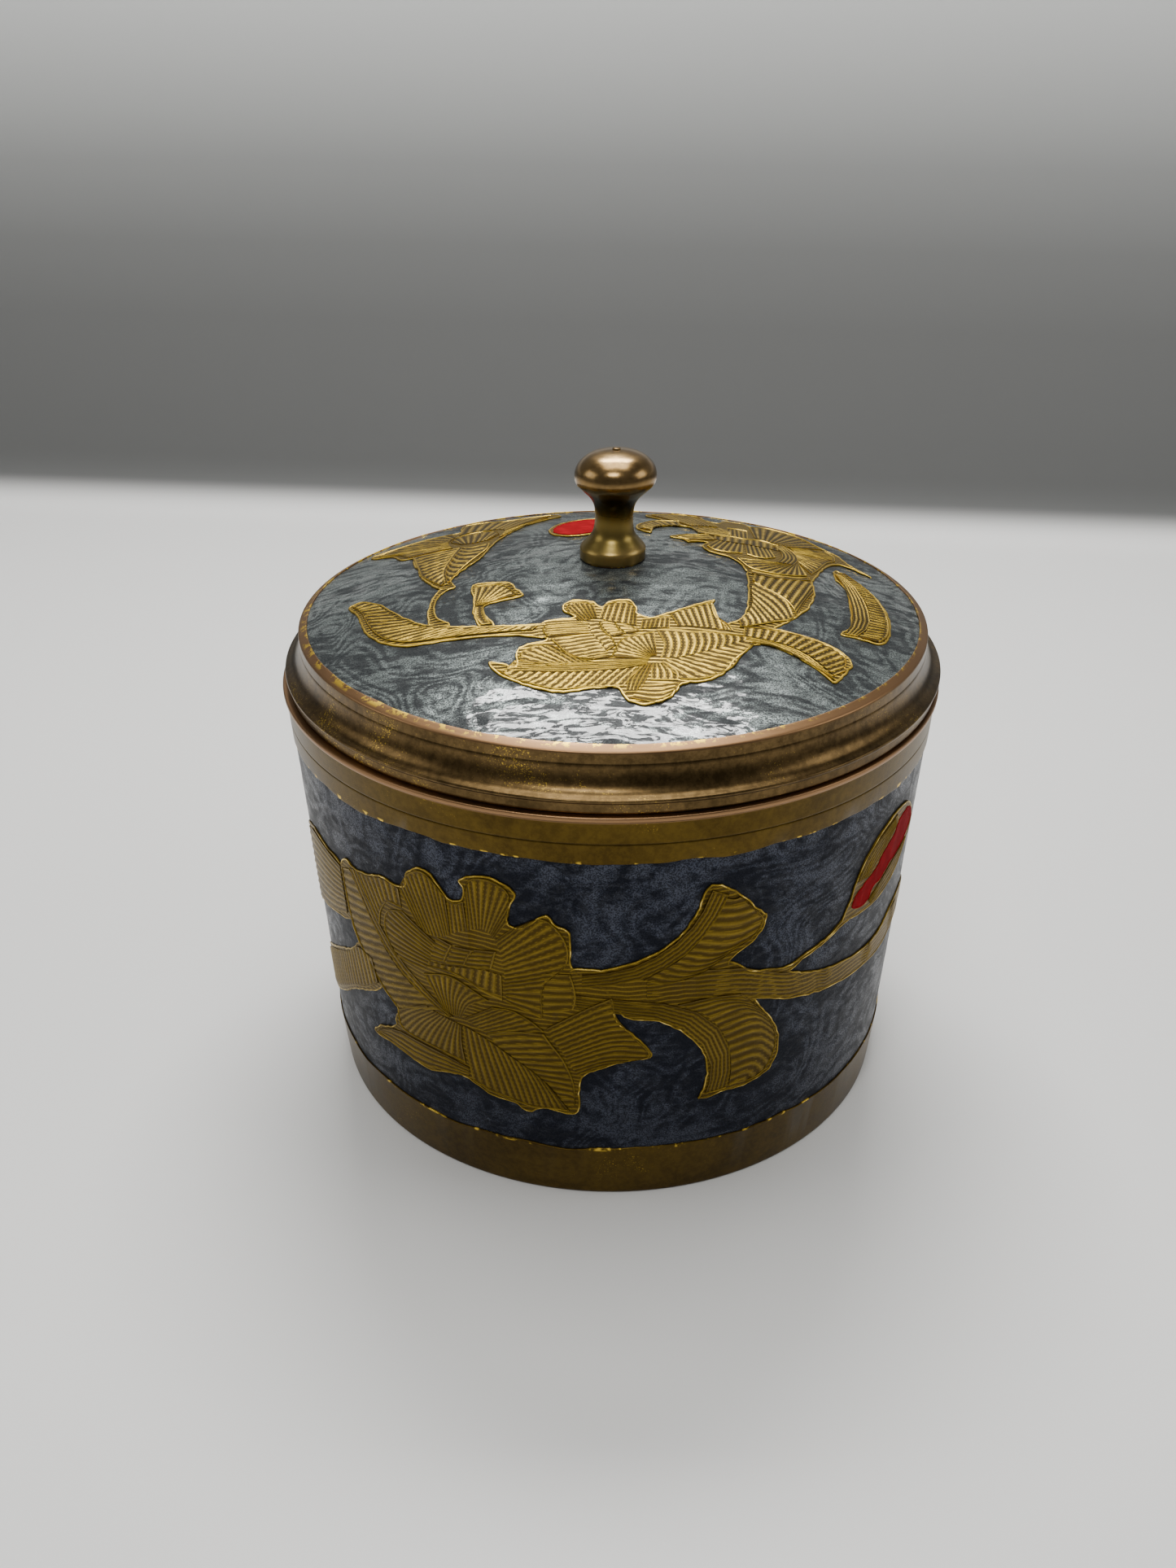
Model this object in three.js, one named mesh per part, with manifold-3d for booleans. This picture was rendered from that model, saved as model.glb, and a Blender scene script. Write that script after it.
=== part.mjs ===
// Round champleve enamel box: a slightly flaring brass drum and a domed, loose brass lid
// with a turned knob. Peony sprays stand in raised brass in a ground of dark enamel.
// Millimetres, +Z up, the underside of the drum on z = 0, the front towards -Y.

import * as THREE from 'three';
import { mergeVertices } from 'three/addons/utils/BufferGeometryUtils.js';
import Module from 'manifold-3d';

const wasm = await Module();
wasm.setup();

// Driving dimensions: drum
const footTaper = 1.0;
const footBevel = 0.5;
const footBandHeight = 10.6;
const footBandRadius = 53.0;
const drumHeight = 77.2;
const drumTopRadius = 56.8;
const lipOverhang = 0.35;
const lipHeight = 1.1;
const lipFlare = 0.44;
const lipRound = 0.22;
const enamelTopMargin = 8.2;
const wallThickness = 2.8;
const floorThickness = 3.0;

// Driving dimensions: lid, its radii as steps in from the drum's face at the mouth
const lidClearance = 0.7;
const lidShift = 0.35;
const seatInset = 0.8;
const filletInset = 0.5;
const filletHeight = 1.9;
const torusHeight = 1.0;
const coveDepth = 2.65;
const coveHeight = 4.2;
const coveArc = 0.45 * Math.PI;
const rimBandHeight = 2.0;
const rimInset = 2.75;
const rimHeight = 8.94;
const rimBevel = 1.45;
const lidEnamelRise = 0.76;
const domeRise = 9.3;
const domePower = 1.6;
const lidThickness = 3.4;
const spigotDepth = 4.5;
const spigotThickness = 2.2;

// Driving dimensions: knob, as heights above its foot and radii
const knobFootRadius = 5.6;
const knobCollarHeight = 2.5;
const knobNeckRadius = 3.23;
const knobNeckHeight = 6.6;
const knobHeadRadius = 6.88;
const knobHeadHeight = 14.5;
const knobHeight = 18.6;
const knobRivetRadius = 0.7;
const knobRivetHeight = 0.3;
const knobLean = 0.03;
const knobSeatRadius = 5.0;

// The knob's turned profile between those heights, as shares of the foot's, the neck's and
// the head's radius and of the height of each stretch
const collarShares = [[1, 0], [1, 0.7], [0.97, 0.84]];
const neckShares = [[1.44, 0.12], [1.13, 0.44], [1, 1]];
const headShares = [[0.507, 0.33], [0.615, 0.51], [0.82, 0.68], [0.967, 0.82], [1, 1]];
const crownShares = [[0.93, 0.37], [0.7, 0.73], [0.35, 0.94]];

// Driving dimensions: enamel
const relief = 0.25;
const enamelThickness = 0.9;
const pieceGap = 0.3;
const recessDepth = relief + enamelThickness + pieceGap;

// Facets around and in small arcs, where the dome's profile bends, and how closely a motif's
// edge follows its curve
const turnedFacets = 32;
const knobFacets = 16;
const arcFacets = 2;
const domeBendShares = [0.36, 0.7];
const curveSteps = 6;
const edgeTolerance = 0.6;
const mergeDistance = 1e-4;

// Where a motif's outline is grown, how far a corner may reach out, and how near to the
// outline a point may come, both as shares of the distance
const cornerShare = 2.0;
const nearestShare = 0.9;

// The motifs are drawn flat. The drum's strip is unrolled at drawnRadius, with x along
// the wall from the front and y as height; the lid's is seen from above, y to the back.
const drawnRadius = 54.5;
const drawnBottom = 10.6;
const drawnTop = 69.0;
const drawnLidRadius = 52.6;
const drumSprays = 2;

const enamelBottom = footBandHeight;
const enamelTop = drumHeight - enamelTopMargin;
const drumSpray = {
  upperLeftLeaf: [
    [-84, 31], [-81, 40.5], [-75, 48.8], [-70, 52.3], [-66, 54.4], [-62, 55.5], [-57, 55.2], [-51, 54.6],
    [-46, 52], [-46, 46], [-50, 43.4], [-57, 41], [-66, 38], [-74, 33.4], [-80, 30],
  ],
  lowerLeftLeaf: [
    [-81, 14.5], [-78, 19], [-72, 24.8], [-63, 30.2], [-56, 34], [-51, 37], [-48.3, 39.6], [-44, 40],
    [-41, 36], [-43, 32.6], [-47, 29.9], [-52.5, 27], [-58, 23], [-65, 18.8], [-73, 15.4],
  ],
  peony: [
    [-50.4, 54.8], [-48, 56.7], [-46.6, 56.1], [-42, 56.7], [-38.5, 58], [-35, 57.5], [-33.3, 58.6],
    [-33, 60.6], [-30.4, 62.8], [-27.8, 62.3], [-26, 60], [-24.6, 58.7], [-22.8, 59.1], [-22.3, 61.2],
    [-22.9, 62.7], [-21.4, 63.9], [-17.6, 64.6], [-13.9, 62.3], [-14.7, 59.7], [-15.1, 56.5], [-13.6, 55.9],
    [-11.6, 57.3], [-9.4, 59], [-8, 57.6], [-5.9, 56.3], [-5.6, 53], [-5.2, 48.8], [0, 45], [1.6, 38.7],
    [4.5, 35.6], [7.3, 31.2], [3, 30.2], [-1, 28.7], [-4, 26.8], [-4.6, 24], [-5.2, 18.6], [-11, 18.9],
    [-13.5, 17.7], [-16, 19.1], [-20, 19.5], [-25, 21.9], [-29, 21.2], [-33, 20.1], [-40, 21.2], [-47.3, 21],
    [-45, 23.6], [-40.4, 26], [-39.8, 28.5], [-38.8, 30.4], [-42, 32.9], [-45.5, 36.2], [-48.2, 39.8],
    [-49.6, 42.8], [-50.2, 48],
  ],
  upperRightLeaf: [
    [-6, 48.7], [0, 49.4], [6, 51.6], [10.4, 54.9], [12.9, 58.6], [14.3, 63], [15.2, 64], [18.5, 62.6],
    [22.8, 58.3], [24.9, 55.7], [23.4, 52], [19.1, 48.6], [20, 44], [12, 41], [0, 41], [-6, 43],
  ],
  lowerRightLeaf: [
    [0, 45], [12, 45], [22, 42], [25.5, 37.6], [28.4, 33.5], [30.2, 28], [29, 23.3], [25.6, 21.4], [19.5, 20.9],
    [15.4, 20.4], [16.5, 24], [16, 29.6], [13, 34.5], [8, 38.3], [2.5, 39.7],
  ],
  stem: [
    [14, 48.5], [19.1, 48.6], [23, 45.8], [28, 44.4], [32, 42.2], [36, 40.6], [42, 39.2], [50, 38.2], [56, 38.6],
    [60, 40.3], [66, 41.4], [71, 40.6], [75, 38.6], [78.5, 35.4], [74, 34.6], [68, 34.9], [58, 33.6],
    [48, 34.1], [38, 35.3], [31, 37], [24.8, 39.3], [12, 42],
  ],
  tendril: [
    [26, 44.8], [30, 44.2], [34.5, 45.5], [39, 46.9], [41.5, 48.6], [42.6, 50.6], [44.4, 50.2], [44, 47.8],
    [41.5, 47.2], [37.5, 45.5], [33, 44.2], [29, 42.4],
  ],
  bud: [
    [42.2, 48.2], [42.8, 51.5], [44.8, 57], [49, 61.4], [55, 63.5], [60.5, 62.3], [64.3, 58.4], [65, 56.4],
    [62.3, 52.4], [57, 48.6], [50, 47.1],
  ],
};
const drumBudCell = [
  [43.6, 50], [44.2, 51.8], [46.2, 53.2], [50, 55.2], [51.2, 56.8], [54.8, 58.7], [56, 60.6], [59.5, 61.5],
  [62.6, 60], [64.1, 57.6], [63.3, 56], [59.5, 54.3], [54.6, 53], [52, 51.5], [49.4, 50.9], [48.4, 49.1],
  [46, 48.6],
];
const lidSpray = {
  nearFlower: [
    [18.6, -22.6], [16.9, -20.6], [16.2, -16.6], [16.7, -14.6], [12.5, -17.5], [8.6, -20.3], [6.3, -21.8],
    [4.3, -21], [3.6, -18], [2.4, -16.6], [-0.6, -17.4], [-1.6, -18.8], [-3.4, -17.1], [-7.1, -16.9],
    [-8.1, -19.4], [-6.1, -21.9], [-8.7, -22.2], [-11.4, -23.2], [-11.4, -26.8], [-10.2, -27.8], [-14.5, -29.6],
    [-14.9, -34.4], [-16.4, -33.6], [-19, -32.7], [-17.3, -36], [-13.5, -38.9], [-8, -41.2], [-3.5, -40.7],
    [0.7, -40.5], [2.4, -43.3], [5, -44.1], [8.8, -42.2], [10.6, -39], [14.5, -37.8], [17.4, -35], [19.2, -31.5],
    [22.3, -27], [23.5, -24],
  ],
  rightLeaf: [
    [18, -24], [21, -27.4], [24.2, -26.4], [28.5, -28.6], [31.6, -31.2], [34.1, -34.1], [36, -31.3], [37.7, -28],
    [36.2, -24.5], [31.5, -22.2], [26, -21.2], [20, -21.4],
  ],
  leftLeaf: [
    [-9.5, -23], [-12, -23.3], [-20, -22.3], [-26, -20.7], [-31, -18.3], [-35.5, -13.3], [-39.5, -7.5],
    [-43, -4.9], [-44.9, -6], [-42.6, -11], [-40.6, -17.4], [-37, -22.4], [-32.5, -24.9], [-24, -25.2],
    [-16, -25.9], [-9.5, -27.2],
  ],
  leftTendril: [
    [-26, -20.4], [-28.6, -17], [-29.2, -13], [-28.9, -9.6], [-27.4, -6.8], [-28.6, -6.2], [-29.8, -8.6],
    [-30.3, -13], [-30, -17.4], [-29.2, -20],
  ],
  fanBud: [
    [-23.5, -7.2], [-20, -7.3], [-17, -8.6], [-15.8, -11], [-14.5, -13.6], [-20.7, -15.8], [-20.5, -18.5],
    [-18.8, -22.6], [-20.8, -22.8], [-22.5, -18.5], [-22.9, -13],
  ],
  leftFlower: [
    [-26.6, -7], [-27.4, -3.6], [-25.5, 1], [-23, 5.8], [-21.9, 11.5], [-20.9, 16], [-19.3, 20.5], [-17, 27],
    [-13.5, 33.5], [-10, 39.6], [-12, 42.2], [-16.5, 40.6], [-20.5, 38], [-25, 39.9], [-28.9, 39.4],
    [-29.6, 35], [-29.4, 30], [-34.5, 29], [-40.3, 25.8], [-45.2, 22], [-44.4, 20.4], [-41, 18.8], [-38.6, 14.4],
    [-36.2, 13.2], [-35.7, 9.4], [-34.2, 5], [-33.4, 1.2], [-31.4, -3.2], [-29, -6.6],
  ],
  redBud: [
    [-11.7, 19], [-11.5, 22.4], [-10, 26.5], [-6.5, 30.6], [-2.8, 32], [0.2, 29.6], [0.8, 25], [-0.6, 19.6],
    [-3.4, 15], [-7.4, 13.7], [-10.4, 15.4],
  ],
  rightFlower: [
    [23.2, -1.4], [22.4, 1.9], [20.3, 5.4], [17, 7], [15.8, 10], [17, 13], [15, 13], [13.4, 11.9],
    [12.4, 13.6], [10.4, 14.4], [13.3, 17.7], [17, 19.8], [15.4, 23.4], [14, 26], [10.5, 25.4], [7.7, 22.6],
    [6.9, 17], [4.7, 19.4], [4.7, 24.8], [7.6, 30], [9.4, 32.3], [6.4, 38.6], [8, 42.2], [14.5, 45.3], [17.2, 44.2],
    [18.4, 37.4], [20.4, 35.6], [22.2, 40], [25.4, 40.2], [27.2, 36.8], [30.6, 38.6], [36, 33.6], [39, 26.4],
    [41.8, 21.5], [43.6, 15.5], [46.7, 10.6], [41.8, 14.4], [39.4, 12.4], [36.8, 6.5], [34.2, 0], [30, -3],
  ],
  twinLeaf: [
    [23.8, 1], [22.8, -6], [22.1, -14], [20.6, -19.5], [17.6, -22.8], [22, -25], [26.4, -20.6], [30, -16.3],
    [33.4, -9.4], [34.5, -3], [33.6, 2],
  ],
  crescentLeaf: [
    [39.9, 9.8], [39, 5.8], [40.2, 0], [39.9, -8], [38.6, -16.2], [36.8, -19.1], [40, -19.3], [43.4, -19.5],
    [45.6, -15.6], [46.6, -8], [45.6, -0.4], [43.2, 5.6],
  ],
};
const lidBudCell = [
  [-10.9, 19], [-10.6, 22.6], [-9.1, 26.2], [-6, 29.6], [-2.9, 31], [-0.7, 29], [0, 25], [-1.3, 20],
  [-4, 15.8], [-7.4, 14.6], [-9.8, 16],
];

// Materials
const agedBrass = new THREE.MeshStandardMaterial({ color: 0x7a6231, metalness: 1.0, roughness: 0.42 });
const turnedBrass = new THREE.MeshStandardMaterial({ color: 0x8a6b3a, metalness: 1.0, roughness: 0.32 });
const greyEnamel = new THREE.MeshStandardMaterial({ color: 0x3b4247, metalness: 0.0, roughness: 0.25 });
const slateEnamel = new THREE.MeshStandardMaterial({ color: 0x4a4d52, metalness: 0.0, roughness: 0.22 });
const redEnamel = new THREE.MeshStandardMaterial({ color: 0xa92b22, metalness: 0.0, roughness: 0.2 });

// Closed solid of a geometry: shared corners merged, flat slivers dropped
function solid(geometry) {
  const bare = geometry.clone();
  bare.deleteAttribute('normal');
  bare.deleteAttribute('uv');
  const merged = mergeVertices(bare, mergeDistance);
  const corners = [];
  for (let i = 0; i < merged.index.count; i += 3) {
    const [a, b, c] = [0, 1, 2].map((k) => merged.index.getX(i + k));
    if (a !== b && b !== c && c !== a) corners.push(a, b, c);
  }
  return new wasm.Manifold(new wasm.Mesh({
    numProp: 3,
    vertProperties: new Float32Array(merged.attributes.position.array),
    triVerts: new Uint32Array(corners),
  }));
}

// Geometry of a closed solid, flat shaded
function geometryOf(body) {
  const mesh = body.getMesh();
  const geometry = new THREE.BufferGeometry();
  geometry.setAttribute('position', new THREE.BufferAttribute(new Float32Array(mesh.vertProperties), 3));
  geometry.setIndex(new THREE.BufferAttribute(new Uint32Array(mesh.triVerts), 1));
  return geometry;
}

// A solid of revolution about Z from a closed profile of [radius, height], listed anticlockwise
function turned(profile, facets = turnedFacets) {
  const points = [...profile, profile[0]].map(([r, z]) => new THREE.Vector2(r, z));
  const lathe = new THREE.LatheGeometry(points, facets);
  return solid(lathe.rotateX(Math.PI / 2));
}

// Points of an arc in a profile, from one angle to another, ends included
function arc(centre, radius, from, to, steps) {
  const points = [];
  for (let i = 0; i <= steps; i += 1) {
    const angle = from + (to - from) * (i / steps);
    points.push([centre[0] + radius * Math.cos(angle), centre[1] + radius * Math.sin(angle)]);
  }
  return points;
}

// Distance from a point to a stretch of straight edge
function distanceToEdge(p, a, b) {
  const edge = [b[0] - a[0], b[1] - a[1]];
  const length = edge[0] ** 2 + edge[1] ** 2;
  const along = length ? ((p[0] - a[0]) * edge[0] + (p[1] - a[1]) * edge[1]) / length : 0;
  const t = Math.min(1, Math.max(0, along));
  return Math.hypot(p[0] - a[0] - t * edge[0], p[1] - a[1] - t * edge[1]);
}

// The fewest points of an open run that keep it within the edge tolerance
function thinned(run) {
  let worst = 0;
  let split = 0;
  for (let i = 1; i < run.length - 1; i += 1) {
    const off = distanceToEdge(run[i], run[0], run[run.length - 1]);
    if (off > worst) {
      worst = off;
      split = i;
    }
  }
  if (worst < edgeTolerance) return [run[0], run[run.length - 1]];
  return [...thinned(run.slice(0, split + 1)).slice(0, -1), ...thinned(run.slice(split))];
}

// A smooth closed outline through the drawn points, running anticlockwise
function outline(points) {
  const curve = new THREE.CatmullRomCurve3(points.map(([x, y]) => new THREE.Vector3(x, y, 0)), true);
  const fine = curve.getPoints(points.length * curveSteps).map((p) => [p.x, p.y]);
  const half = Math.floor(fine.length / 2);
  const loop = [...thinned(fine.slice(0, half + 1)).slice(0, -1), ...thinned(fine.slice(half)).slice(0, -1)];
  return THREE.ShapeUtils.area(loop.map(([x, y]) => new THREE.Vector2(x, y))) > 0 ? loop : loop.reverse();
}

// The same outline moved outwards by a distance, or inwards by a negative one
function widened(loop, distance) {
  const moved = loop.map((p, i) => {
    const before = loop[(i + loop.length - 1) % loop.length];
    const after = loop[(i + 1) % loop.length];
    const a = new THREE.Vector2(p[0] - before[0], p[1] - before[1]).normalize();
    const b = new THREE.Vector2(after[0] - p[0], after[1] - p[1]).normalize();
    const normal = new THREE.Vector2(a.y + b.y, -a.x - b.x).normalize();
    const reach = distance * Math.min(cornerShare, 1 / (normal.x * a.y - normal.y * a.x));
    return [p[0] + normal.x * reach, p[1] + normal.y * reach];
  });
  const least = nearestShare * Math.abs(distance);
  return moved.filter((p) => loop.every((q, i) => distanceToEdge(p, q, loop[(i + 1) % loop.length]) > least));
}

// A closed plug over an outline, between two mappings of the flat drawing into space
function plug(loop, near, far) {
  const flat = loop.map(([x, y]) => new THREE.Vector2(x, y));
  const faces = THREE.ShapeUtils.triangulateShape(flat, []);
  const count = loop.length;
  const positions = [...loop.map(near), ...loop.map(far)].flat();
  const index = [];
  faces.forEach(([a, b, c]) => {
    index.push(a, c, b, count + a, count + b, count + c);
  });
  loop.forEach((_, i) => {
    const j = (i + 1) % count;
    index.push(i, j, count + j, i, count + j, count + i);
  });
  const geometry = new THREE.BufferGeometry();
  geometry.setAttribute('position', new THREE.Float32BufferAttribute(positions, 3));
  geometry.setIndex(index);
  return solid(geometry);
}

// Turn about Z, from the front, of a point of the drum's strip
function drumAngle([x], turn) {
  return x / drawnRadius + turn;
}

// Where a point of the drum's strip lies on the face, moved by a distance along one direction
function ontoDrum(direction, distance, turn) {
  return (point) => {
    const angle = drumAngle(point, turn);
    const share = (point[1] - drawnBottom) / (drawnTop - drawnBottom);
    const height = enamelBottom + share * (enamelTop - enamelBottom);
    const radius = drumRadius(height);
    const x = radius * Math.sin(angle) + distance * Math.sin(direction);
    const y = -radius * Math.cos(angle) - distance * Math.cos(direction);
    return [x, y, height];
  };
}

// A motif's plug through the drum's wall, straight along the way its middle faces
function drumPlug(loop, turn) {
  const angles = loop.map((point) => drumAngle(point, turn));
  const direction = (Math.min(...angles) + Math.max(...angles)) / 2;
  return plug(loop, ontoDrum(direction, -plugReach, turn), ontoDrum(direction, plugReach, turn));
}

// Where a point of the lid's drawing lies at the given height
function ontoLid(height) {
  const scale = lidEnamelRadius / drawnLidRadius;
  return ([x, y]) => [x * scale, y * scale, height];
}

function lidPlug(loop) {
  return plug(loop, ontoLid(0), ontoLid(2 * drumHeight));
}

function joined(solids) {
  return solids.reduce((whole, next) => whole.add(next));
}

// All motifs of one drawing as plugs, each grown by a distance
function motifPlugs(motifs, grow, place) {
  return joined(Object.values(motifs).map((points) => {
    const loop = outline(points);
    return place(grow ? widened(loop, grow) : loop);
  }));
}

// Radius of the drum's outer face at a height
function drumRadius(z) {
  if (z < footBandHeight) return footRadius + (footBandRadius - footRadius) * (z / footBandHeight);
  const share = (z - footBandHeight) / (drumHeight - footBandHeight);
  return footBandRadius + (drumTopRadius - footBandRadius) * share;
}

// Height of the lid's brass dome at a radius, above the drum's mouth
function domeHeight(r) {
  const edge = rimHeight + lidEnamelRise;
  return drumHeight + edge + domeRise * (1 - (r / lidEnamelRadius) ** domePower);
}

// A ring of the drum's wall between two depths below its face, between two heights
function drumRing(inner, outer, bottom, top) {
  return turned([
    [drumRadius(bottom) - inner, bottom],
    [drumRadius(bottom) - outer, bottom],
    [drumRadius(top) - outer, top],
    [drumRadius(top) - inner, top],
  ]);
}

// A dished ring of the lid between two depths below its dome
function lidRing(hole, rim, lower, upper) {
  const radii = [hole, ...domeRadii, rim];
  return turned([
    ...radii.map((r) => [r, domeHeight(r) - lower]),
    ...radii.reverse().map((r) => [r, domeHeight(r) - upper]),
  ]);
}

const footRadius = footBandRadius - footTaper;
const lipRadius = drumTopRadius + lipOverhang;
const mouthRadius = drumTopRadius - wallThickness;
const torusRadius = drumTopRadius;
const rimRadius = torusRadius - rimInset;
const lidEnamelRadius = rimRadius - rimBevel;
const plugReach = drumTopRadius / 5;
const domeRadii = domeBendShares.map((share) => share * lidEnamelRadius);
const turns = Array.from({ length: drumSprays }, (_, i) => (2 * Math.PI * i) / drumSprays);
const budLoop = outline(drumBudCell);
const lidBudLoop = outline(lidBudCell);

function drumBody() {
  const blank = turned([
    [0, 0],
    [footRadius - footBevel, 0],
    [drumRadius(footBevel), footBevel],
    [footBandRadius, footBandHeight],
    [drumRadius(drumHeight - lipHeight), drumHeight - lipHeight],
    [lipRadius, drumHeight - lipHeight + lipFlare],
    [lipRadius, drumHeight - lipRound],
    [lipRadius - lipRound, drumHeight],
    [mouthRadius, drumHeight],
    [footBandRadius - wallThickness, footBandHeight],
    [drumRadius(floorThickness) - wallThickness, floorThickness],
    [0, floorThickness],
  ]);
  const recess = drumRing(recessDepth, -wallThickness, enamelBottom, enamelTop);
  const sprays = joined(turns.map((turn) => motifPlugs(drumSpray, 0, (loop) => drumPlug(loop, turn))));
  const buds = joined(turns.map((turn) => drumPlug(budLoop, turn))).intersect(recess);
  return blank.subtract(recess.subtract(sprays)).subtract(buds);
}

function drumEnamelRing() {
  return drumRing(relief + enamelThickness, relief, enamelBottom + pieceGap, enamelTop - pieceGap);
}

function drumGround() {
  const sprays = joined(turns.map((turn) => motifPlugs(drumSpray, pieceGap, (loop) => drumPlug(loop, turn))));
  return drumEnamelRing().subtract(sprays);
}

function drumBud(turn) {
  return drumEnamelRing().intersect(drumPlug(widened(budLoop, -pieceGap), turn));
}

function lidBody() {
  const z = (height) => drumHeight + height;
  const spigotRadius = mouthRadius - lidClearance;
  const hollowRadius = spigotRadius - spigotThickness;
  const crown = domeHeight(knobSeatRadius);
  const coveTop = rimHeight - rimBandHeight;
  const cove = arc([torusRadius, z(coveTop)], coveDepth, Math.PI + coveArc, Math.PI, arcFacets)
    .map(([r, h]) => [r, z(coveTop) - (z(coveTop) - h) * (coveHeight / coveDepth)]);
  const torusCentre = [torusRadius - torusHeight / 2, z(filletHeight + torusHeight / 2)];
  const torus = arc(torusCentre, torusHeight / 2, -Math.PI / 2, Math.PI / 2, arcFacets);
  const blank = turned([
    [0, crown - lidThickness],
    ...domeRadii.map((r) => [r, domeHeight(r) - lidThickness]),
    [hollowRadius, domeHeight(hollowRadius) - lidThickness],
    [hollowRadius, z(-spigotDepth)],
    [spigotRadius, z(-spigotDepth)],
    [spigotRadius, z(0)],
    [torusRadius - seatInset, z(0)],
    [torusRadius - filletInset, z(seatInset - filletInset)],
    [torusRadius - filletInset, z(filletHeight)],
    ...torus,
    ...cove,
    [rimRadius, z(coveTop)],
    [rimRadius, z(rimHeight)],
    [lidEnamelRadius, domeHeight(lidEnamelRadius)],
    ...domeRadii.map((r) => [r, domeHeight(r)]).reverse(),
    [knobSeatRadius, crown],
    [0, crown],
  ]);
  const recess = lidRing(knobSeatRadius, lidEnamelRadius, recessDepth, -recessDepth);
  const bud = lidPlug(lidBudLoop).intersect(recess);
  return blank.subtract(recess.subtract(motifPlugs(lidSpray, 0, lidPlug))).subtract(bud);
}

function lidEnamelRing() {
  const hole = knobSeatRadius + pieceGap;
  return lidRing(hole, lidEnamelRadius - pieceGap, relief + enamelThickness, relief);
}

function lidGround() {
  return lidEnamelRing().subtract(motifPlugs(lidSpray, pieceGap, lidPlug));
}

function lidBud() {
  return lidEnamelRing().intersect(lidPlug(widened(lidBudLoop, -pieceGap)));
}

// A stretch of the knob's profile, from its shares
function stretch(shares, radius, low, high) {
  return shares.map(([r, h]) => [r * radius, low + h * (high - low)]);
}

// The knob is turned, then leans a little sideways from its flat foot
function knobBody() {
  const body = turned([
    [0, 0],
    ...stretch(collarShares, knobFootRadius, 0, knobCollarHeight),
    ...stretch(neckShares, knobNeckRadius, knobCollarHeight, knobNeckHeight),
    ...stretch(headShares, knobHeadRadius, knobNeckHeight, knobHeadHeight),
    ...stretch(crownShares, knobHeadRadius, knobHeadHeight, knobHeight),
    [knobRivetRadius, knobHeight],
    [knobRivetRadius, knobHeight + knobRivetHeight],
    [0, knobHeight + knobRivetHeight],
  ], knobFacets);
  const lean = new THREE.Matrix4().set(1, 0, knobLean, 0, 0, 1, 0, 0, 0, 0, 1, 0, 0, 0, 0, 1);
  return geometryOf(body).applyMatrix4(lean);
}

function piece(name, geometry, material) {
  const mesh = new THREE.Mesh(geometry, material);
  mesh.name = name;
  return mesh;
}

const box = new THREE.Group();
box.add(piece('drum', geometryOf(drumBody()), agedBrass));
box.add(piece('drum_ground_enamel', geometryOf(drumGround()), greyEnamel));
turns.forEach((turn, i) => {
  box.add(piece(`drum_bud_enamel_${i + 1}`, geometryOf(drumBud(turn)), redEnamel));
});

const lid = new THREE.Group();
lid.position.x = lidShift;
lid.add(piece('lid', geometryOf(lidBody()), agedBrass));
lid.add(piece('lid_ground_enamel', geometryOf(lidGround()), slateEnamel));
lid.add(piece('lid_bud_enamel', geometryOf(lidBud()), redEnamel));
const knob = piece('knob', knobBody(), turnedBrass);
knob.position.z = domeHeight(knobSeatRadius);
lid.add(knob);
box.add(lid);

export default box;
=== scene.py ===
"""Looks of a round champleve enamel box: a brass drum with flower sprays standing in dark enamel,
a loose domed lid to match and a turned brass knob."""

import math

import bmesh
import bpy
from bpy.props import FloatProperty, FloatVectorProperty, IntProperty, PointerProperty
from mathutils import Matrix, Vector, kdtree, noise


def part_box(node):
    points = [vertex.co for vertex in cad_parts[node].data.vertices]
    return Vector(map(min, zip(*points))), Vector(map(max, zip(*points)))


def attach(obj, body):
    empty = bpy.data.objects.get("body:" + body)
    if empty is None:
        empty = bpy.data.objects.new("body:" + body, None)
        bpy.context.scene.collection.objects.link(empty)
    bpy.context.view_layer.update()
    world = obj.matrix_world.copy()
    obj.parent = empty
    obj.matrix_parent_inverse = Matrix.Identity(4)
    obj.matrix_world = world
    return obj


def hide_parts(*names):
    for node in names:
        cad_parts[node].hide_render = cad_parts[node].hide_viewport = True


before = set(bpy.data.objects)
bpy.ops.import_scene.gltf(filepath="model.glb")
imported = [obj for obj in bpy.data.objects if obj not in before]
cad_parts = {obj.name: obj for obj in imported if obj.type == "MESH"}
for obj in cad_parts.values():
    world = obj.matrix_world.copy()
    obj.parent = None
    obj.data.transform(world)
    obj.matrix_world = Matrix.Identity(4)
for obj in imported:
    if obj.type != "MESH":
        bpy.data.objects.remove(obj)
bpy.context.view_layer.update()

bl_info = {
    "name": "Champleve enamel box",
    "version": (1, 0, 0),
    "blender": (4, 5, 0),
    "location": "3D View > Sidebar > Enamel Box",
    "description": "Builds a round brass box with raised flower sprays in dark enamel",
    "category": "Add Mesh",
}

MM = 0.001
DRUM_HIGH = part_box("drum")[1]
KNOB_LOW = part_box("knob")[0]


def length(name, about, default):
    """A size in metres that a user can change."""
    return FloatProperty(name=name, description=about, default=default, min=0.0, unit="LENGTH", precision=5)


def colour(name, about, default):
    """A colour that a user can change."""
    return FloatVectorProperty(
        name=name, description=about, default=default, size=3, min=0.0, max=1.0, subtype="COLOR"
    )


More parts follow.
